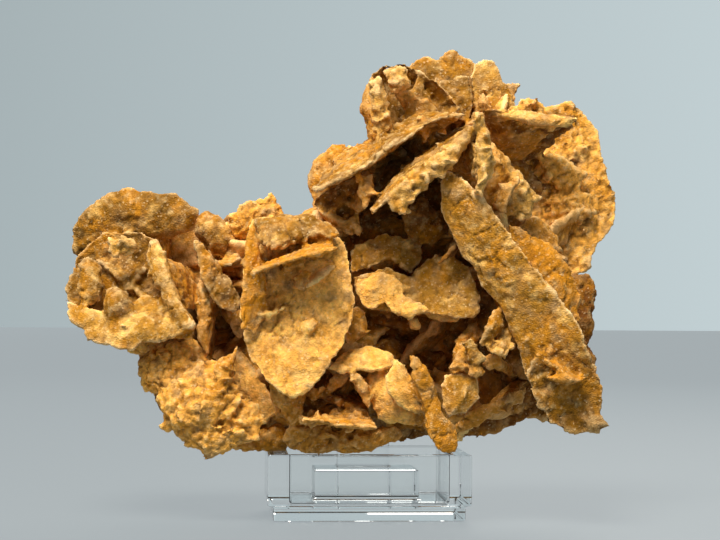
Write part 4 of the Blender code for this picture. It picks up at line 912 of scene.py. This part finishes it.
def roughen(item, kinds):
    """Moves the surface in and out by nodules, sand grains, cracks and pits."""
    mesh = item.data
    spots = vertex_array(mesh)
    crust = np.clip(CRUST[kinds] + patches(spots, *CRUST_PATCHES), 0, 1)
    near, _ = cells(shaken(spots, *NODULE_BEND, 8), NODULE_SIZE, 1)
    grain, _ = cells(spots, GRAIN_SIZE, 2)
    first, second = cells(shaken(spots, *CRACK_BEND, 9), CRACK_CELL, 3)
    crack = np.clip(1 - (second - first) / CRACK_WIDTH, 0, 1) * (noise(spots, CRACK_AREA, 5) > CRACK_ABOVE)
    pit = np.clip(noise(spots, PIT_SIZE, 4) - PIT_ABOVE, 0, 1) * PIT_DEPTH * (PIT_ON_BARE + crust)
    depth = (0.5 - near) * NODULE_HEIGHT * crust
    depth += (0.5 - grain) * (GRAIN_HEIGHT + GRAIN_ON_CRUST * crust) - crack * CRACK_DEPTH
    depth += noise(spots, SWELL[0], 1) * SWELL[1] - pit
    normals = vertex_array(mesh, "normal")
    spots = clear_of_stand(spots + normals * depth[:, None])
    mesh.vertices.foreach_set("co", (spots * MM).ravel())
    mesh.update()


def mixed(colour, other, share):
    """The colours, moved towards another one by a share for each."""
    return colour + (other - colour) * np.clip(share, 0, 1)[:, None]


def tint(item, kinds):
    """Stores each vertex's colour: its crystal's own, mottled, with a painted highlight on rims, painted
    shade deeper in the hollows, and painted shade and light on small pits and bumps.
    """
    mesh = item.data
    spots = vertex_array(mesh)
    fine = standing_out(mesh, FINE_PASSES)
    broad = standing_out(mesh, BROAD_PASSES)
    paleness_and_highlight = PALENESS_AND_RIM_HIGHLIGHT[kinds]
    colour = mixed(COLOURS[kinds], DEEP, patches(spots, *DEEP_PATCHES))
    colour = mixed(colour, MAUVE, patches(spots, *MAUVE_PATCHES))
    # Paler in patches, and paler on faces that point up
    paler = patches(spots, *PALE_PATCHES) + vertex_array(mesh, "normal")[:, 2] * UPWARD_PALE
    colour = mixed(colour, PALE, paler * paleness_and_highlight * PALE_SHARE)
    # Painted highlight: convex rims turn pale, as where light catches an edge
    colour = mixed(colour, RIM_HIGHLIGHT, np.clip(broad * RIM_HIGHLIGHT_GAIN - RIM_HIGHLIGHT_FROM, 0, RIM_HIGHLIGHT_MOST) * paleness_and_highlight)
    # Painted shade: concave places darken towards a dark brown, as if in shadow
    colour = mixed(colour, DEEP * HOLLOW_SHADE, -broad * HOLLOW_GAIN - HOLLOW_FROM)
    # Painted shade and light at a fine scale: small pits darken and small bumps lighten
    colour = colour * (1 + np.clip(fine * FINE_SHADE_GAIN, *FINE_SHADE_LIMITS))[:, None]
    shade = mesh.color_attributes.new("tint", "FLOAT_COLOR", "POINT")
    rgba = np.concatenate([np.clip(colour, *COLOUR_LIMITS), np.ones((len(colour), 1))], 1)
    shade.data.foreach_set("color", rgba.ravel())


def node(tree, kind, at, **settings):
    """A new shader node with these attributes."""
    made = tree.nodes.new(kind)
    made.location = at
    for name, value in settings.items():
        setattr(made, name, value)
    return made


def ranged(tree, at, source, before, after):
    """A value taken from one range to another, as an output."""
    made = node(tree, "ShaderNodeMapRange", at)
    for name, value in zip(("From Min", "From Max", "To Min", "To Max"), (*before, *after)):
        made.inputs[name].default_value = value
    tree.links.new(source, made.inputs["Value"])
    return made.outputs["Result"]


def noise_texture(tree, at, where, scale, detail, roughness=0.5):
    """A noise texture of this scale in each metre, as an output."""
    made = node(tree, "ShaderNodeTexNoise", at)
    made.inputs["Scale"].default_value = scale
    made.inputs["Detail"].default_value = detail
    made.inputs["Roughness"].default_value = roughness
    tree.links.new(where, made.inputs["Vector"])
    return made.outputs["Fac"]


def blended(tree, at, share, under, colour):
    """The colour under it, with a share of another colour, as an output."""
    made = node(tree, "ShaderNodeMix", at, data_type="RGBA")
    tree.links.new(share, made.inputs[0])
    tree.links.new(under, made.inputs[6])
    made.inputs[7].default_value = colour
    return made.outputs[2]


def arithmetic(tree, at, operation, one, other):
    """Two values put together by this operation, as an output."""
    made = node(tree, "ShaderNodeMath", at, operation=operation)
    tree.links.new(one, made.inputs[0])
    tree.links.new(other, made.inputs[1])
    return made.outputs["Value"]


def gypsum_material():
    """Dusty, sandy gypsum: the vertex tint, broken up by grains that are pale, dark or clear, with a painted
    glint in the colour of a few grains.
    """
    made = bpy.data.materials.new("gypsum_sand")
    made.use_nodes = True
    tree = made.node_tree
    link = tree.links.new
    shader = tree.nodes["Principled BSDF"]
    shader.inputs["Specular IOR Level"].default_value = 0.15
    where = node(tree, "ShaderNodeTexCoord", (-1400, 0)).outputs["Object"]
    grains = node(tree, "ShaderNodeTexVoronoi", (-1150, 0))
    grains.inputs["Scale"].default_value = GRAIN_SCALE
    link(where, grains.inputs["Vector"])
    speck = node(tree, "ShaderNodeSeparateColor", (-950, 0))
    link(grains.outputs["Color"], speck.inputs["Color"])
    mottle = noise_texture(tree, (-1150, -300), where, MOTTLE_SCALE, 5, 0.65)
    shine = ranged(tree, (-750, 0), speck.outputs["Red"], (0, 1), SHINE)
    blotch = ranged(tree, (-750, -300), mottle, (0.3, 0.7), SHINE)
    colour = node(tree, "ShaderNodeAttribute", (-900, 300), attribute_name="tint").outputs["Color"]
    for scale, low, high, share, fleck in FLECKS:
        patch = noise_texture(tree, (-1150, 600), where, scale, 3)
        amount = ranged(tree, (-900, 600), patch, (low, high), (0, share))
        colour = blended(tree, (-650, 600), amount, colour, fleck)
    scaled = node(tree, "ShaderNodeVectorMath", (-350, 100), operation="SCALE")
    link(colour, scaled.inputs[0])
    link(arithmetic(tree, (-550, -100), "MULTIPLY", shine, blotch), scaled.inputs["Scale"])
    # Painted glints: a few grains take a pale highlight colour in the base colour
    glint = ranged(tree, (-750, 200), speck.outputs["Blue"], (0.93, 1), (0, GLINT_SHARE))
    sparkle = blended(tree, (-150, 200), glint, scaled.outputs["Vector"], GLINT)
    link(sparkle, shader.inputs["Base Color"])
    dull = ranged(tree, (-550, -350), speck.outputs["Green"], (0, 1), DULLNESS)
    link(dull, shader.inputs["Roughness"])
    bump = node(tree, "ShaderNodeBump", (-250, -400))
    bump.inputs["Strength"].default_value = 0.6
    bump.inputs["Distance"].default_value = GRAIN_BUMP * MM
    link(arithmetic(tree, (-550, -550), "ADD", mottle, grains.outputs["Distance"]), bump.inputs["Height"])
    link(bump.outputs["Normal"], shader.inputs["Normal"])
    return made


def acrylic_material():
    """Clear moulded acrylic."""
    made = bpy.data.materials.new("clear_acrylic_polished")
    made.use_nodes = True
    shader = made.node_tree.nodes["Principled BSDF"]
    shader.inputs["Base Color"].default_value = (0.97, 0.985, 0.985, 1)
    shader.inputs["Transmission Weight"].default_value = 1.0
    shader.inputs["Roughness"].default_value = 0.02
    shader.inputs["IOR"].default_value = 1.49
    return made


def stage_material(name, colour, glow, dim, bright):
    """A plain studio surface, lit a little from behind, from `dim` at its left to `bright` at its right."""
    made = bpy.data.materials.new(name)
    made.use_nodes = True
    tree = made.node_tree
    shader = tree.nodes["Principled BSDF"]
    shader.inputs["Base Color"].default_value = (*colour, 1)
    shader.inputs["Roughness"].default_value = 0.6
    shader.inputs["Specular IOR Level"].default_value = 0.1
    shader.inputs["Emission Color"].default_value = (*glow, 1)
    where = node(tree, "ShaderNodeTexCoord", (-800, 0))
    parted = node(tree, "ShaderNodeSeparateXYZ", (-600, 0))
    tree.links.new(where.outputs["Object"], parted.inputs["Vector"])
    fade = ranged(tree, (-400, 0), parted.outputs["X"], (-STAGE_FADE, STAGE_FADE), (dim, bright))
    tree.links.new(fade, shader.inputs["Emission Strength"])
    return made


def gather():
    """Parts and colour samples of every cluster."""
    parts = {name: [] for name in CLUSTERS}
    samples = {name: [] for name in CLUSTERS}
    chance = np.random.default_rng(SHARD_SEED)

    def add(cluster, tone, part, small=True, from_depth=ANY_DEPTH):
        spots = part[0]
        parts[cluster].append(part)
        samples[cluster] += [(spot, tone) for spot in spots[::SAMPLE_EVERY] if spot[1] > from_depth]
        area = len(spots) * STEP * STEP / MM2_IN_CM2
        count = int(area * TONES[tone][2]) if small else 0
        if count:
            seats = spots[chance.integers(0, len(spots) - 2, count)]
            away = seats - spots.mean(0)
            away /= np.linalg.norm(away, axis=1, keepdims=True)
            grown = shards(seats, away, chance)
            parts[cluster].append(grown)
            samples[cluster] += [(spot, tone) for spot in grown[0][::SHARD_SAMPLE_EVERY]]

    for seed, (_, cluster, tone, loop, thickness, dish) in enumerate(CRYSTALS):
        points = [seen(*p) for p in loop]
        add(cluster, tone, crystal(points, thickness * PLATE_SHARE, dish, seed))
        if thickness < WEBBED_UNDER:
            behind = max(p.y for p in points) + WEB_SAMPLE_BEHIND
            for web in web_loops(points):
                add(cluster, "ochre", crystal(web, WEB_THICKNESS, 0, seed + WEB_SEED), False, behind)
    for seed, (cluster, middle, radii, _) in enumerate(CORES):
        add(cluster, "brown", core_lump(middle, radii, seed + CORE_SEED))
    for seed, (x, points, thickness) in enumerate(rear_crystals()):
        cluster = REAR_CLUSTERS[sum(x >= split for split in REAR_SPLITS)]
        add(cluster, REAR_TONES[seed % 4], crystal(points, thickness, 0, seed + REAR_CRYSTAL_SEED))
    return parts, samples


def build_rose():
    """The desert rose, as one fused piece for each cluster of crystals."""
    gypsum = gypsum_material()
    parts, samples = gather()
    for name, voxel in CLUSTERS.items():
        item = fused(f"rose_{name}", parts[name], voxel)
        kinds = kinds_of(item, samples[name])
        roughen(item, kinds)
        tint(item, kinds)
        item.data.materials.clear()
        item.data.materials.append(gypsum)
        item.data.shade_smooth()
        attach(item, "root")
        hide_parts("desert_rose")


def build_stage():
    """Pale floor and backdrop."""
    floor_bm = bmesh.new()
    bmesh.ops.create_grid(floor_bm, x_segments=1, y_segments=1, size=STAGE_HALF)
    floor_mesh = bpy.data.meshes.new("floor")
    floor_bm.to_mesh(floor_mesh)
    floor_bm.free()
    floor = bpy.data.objects.new("floor", floor_mesh)
    floor.location = FLOOR_PLACE
    floor.data.materials.append(stage_material("pale_floor", *PALE_FLOOR))
    wall = bpy.data.objects.new("backdrop", floor_mesh.copy())
    wall.data.materials.clear()
    wall.data.materials.append(stage_material("pale_wall", *PALE_WALL))
    wall.rotation_euler.x = math.radians(90)
    wall.location = WALL_PLACE
    for item in (floor, wall):
        bpy.context.scene.collection.objects.link(item)


def area_light(name, at, size, power, colour):
    """A square soft light that points at the cluster."""
    data = bpy.data.lights.new(name, "AREA")
    data.size = size
    data.energy = power
    data.color = colour
    lamp = bpy.data.objects.new(name, data)
    lamp.location = at
    lamp.rotation_euler = (LIT_PLACE - Vector(at)).to_track_quat("-Z", "Y").to_euler()
    bpy.context.scene.collection.objects.link(lamp)


def build_lights():
    """Soft light from above and the front left, less from the right and the back, and a pale surround."""
    world = bpy.data.worlds.new("surround")
    bpy.context.scene.world = world
    world.use_nodes = True
    world.node_tree.nodes["Background"].inputs["Color"].default_value = (0.84, 0.88, 0.90, 1)
    world.node_tree.nodes["Background"].inputs["Strength"].default_value = 0.20
    for light in LIGHTS:
        area_light(*light)


def build_camera():
    """The photograph's view."""
    data = bpy.data.cameras.new("camera")
    data.lens = LENS
    data.sensor_width = 36
    data.clip_start = 0.01
    camera = bpy.data.objects.new("camera", data)
    camera.location = (VIEW_SIDE * MM, -VIEW_DISTANCE * MM, VIEW_HEIGHT * MM)
    camera.rotation_euler = (PITCH, ROLL, 0)
    bpy.context.scene.collection.objects.link(camera)
    bpy.context.scene.camera = camera
    bpy.context.scene.view_settings.view_transform = "Standard"


build_camera()
build_stage()
build_lights()
build_rose()
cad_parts["acrylic_stand"].material_slots[0].material = acrylic_material()
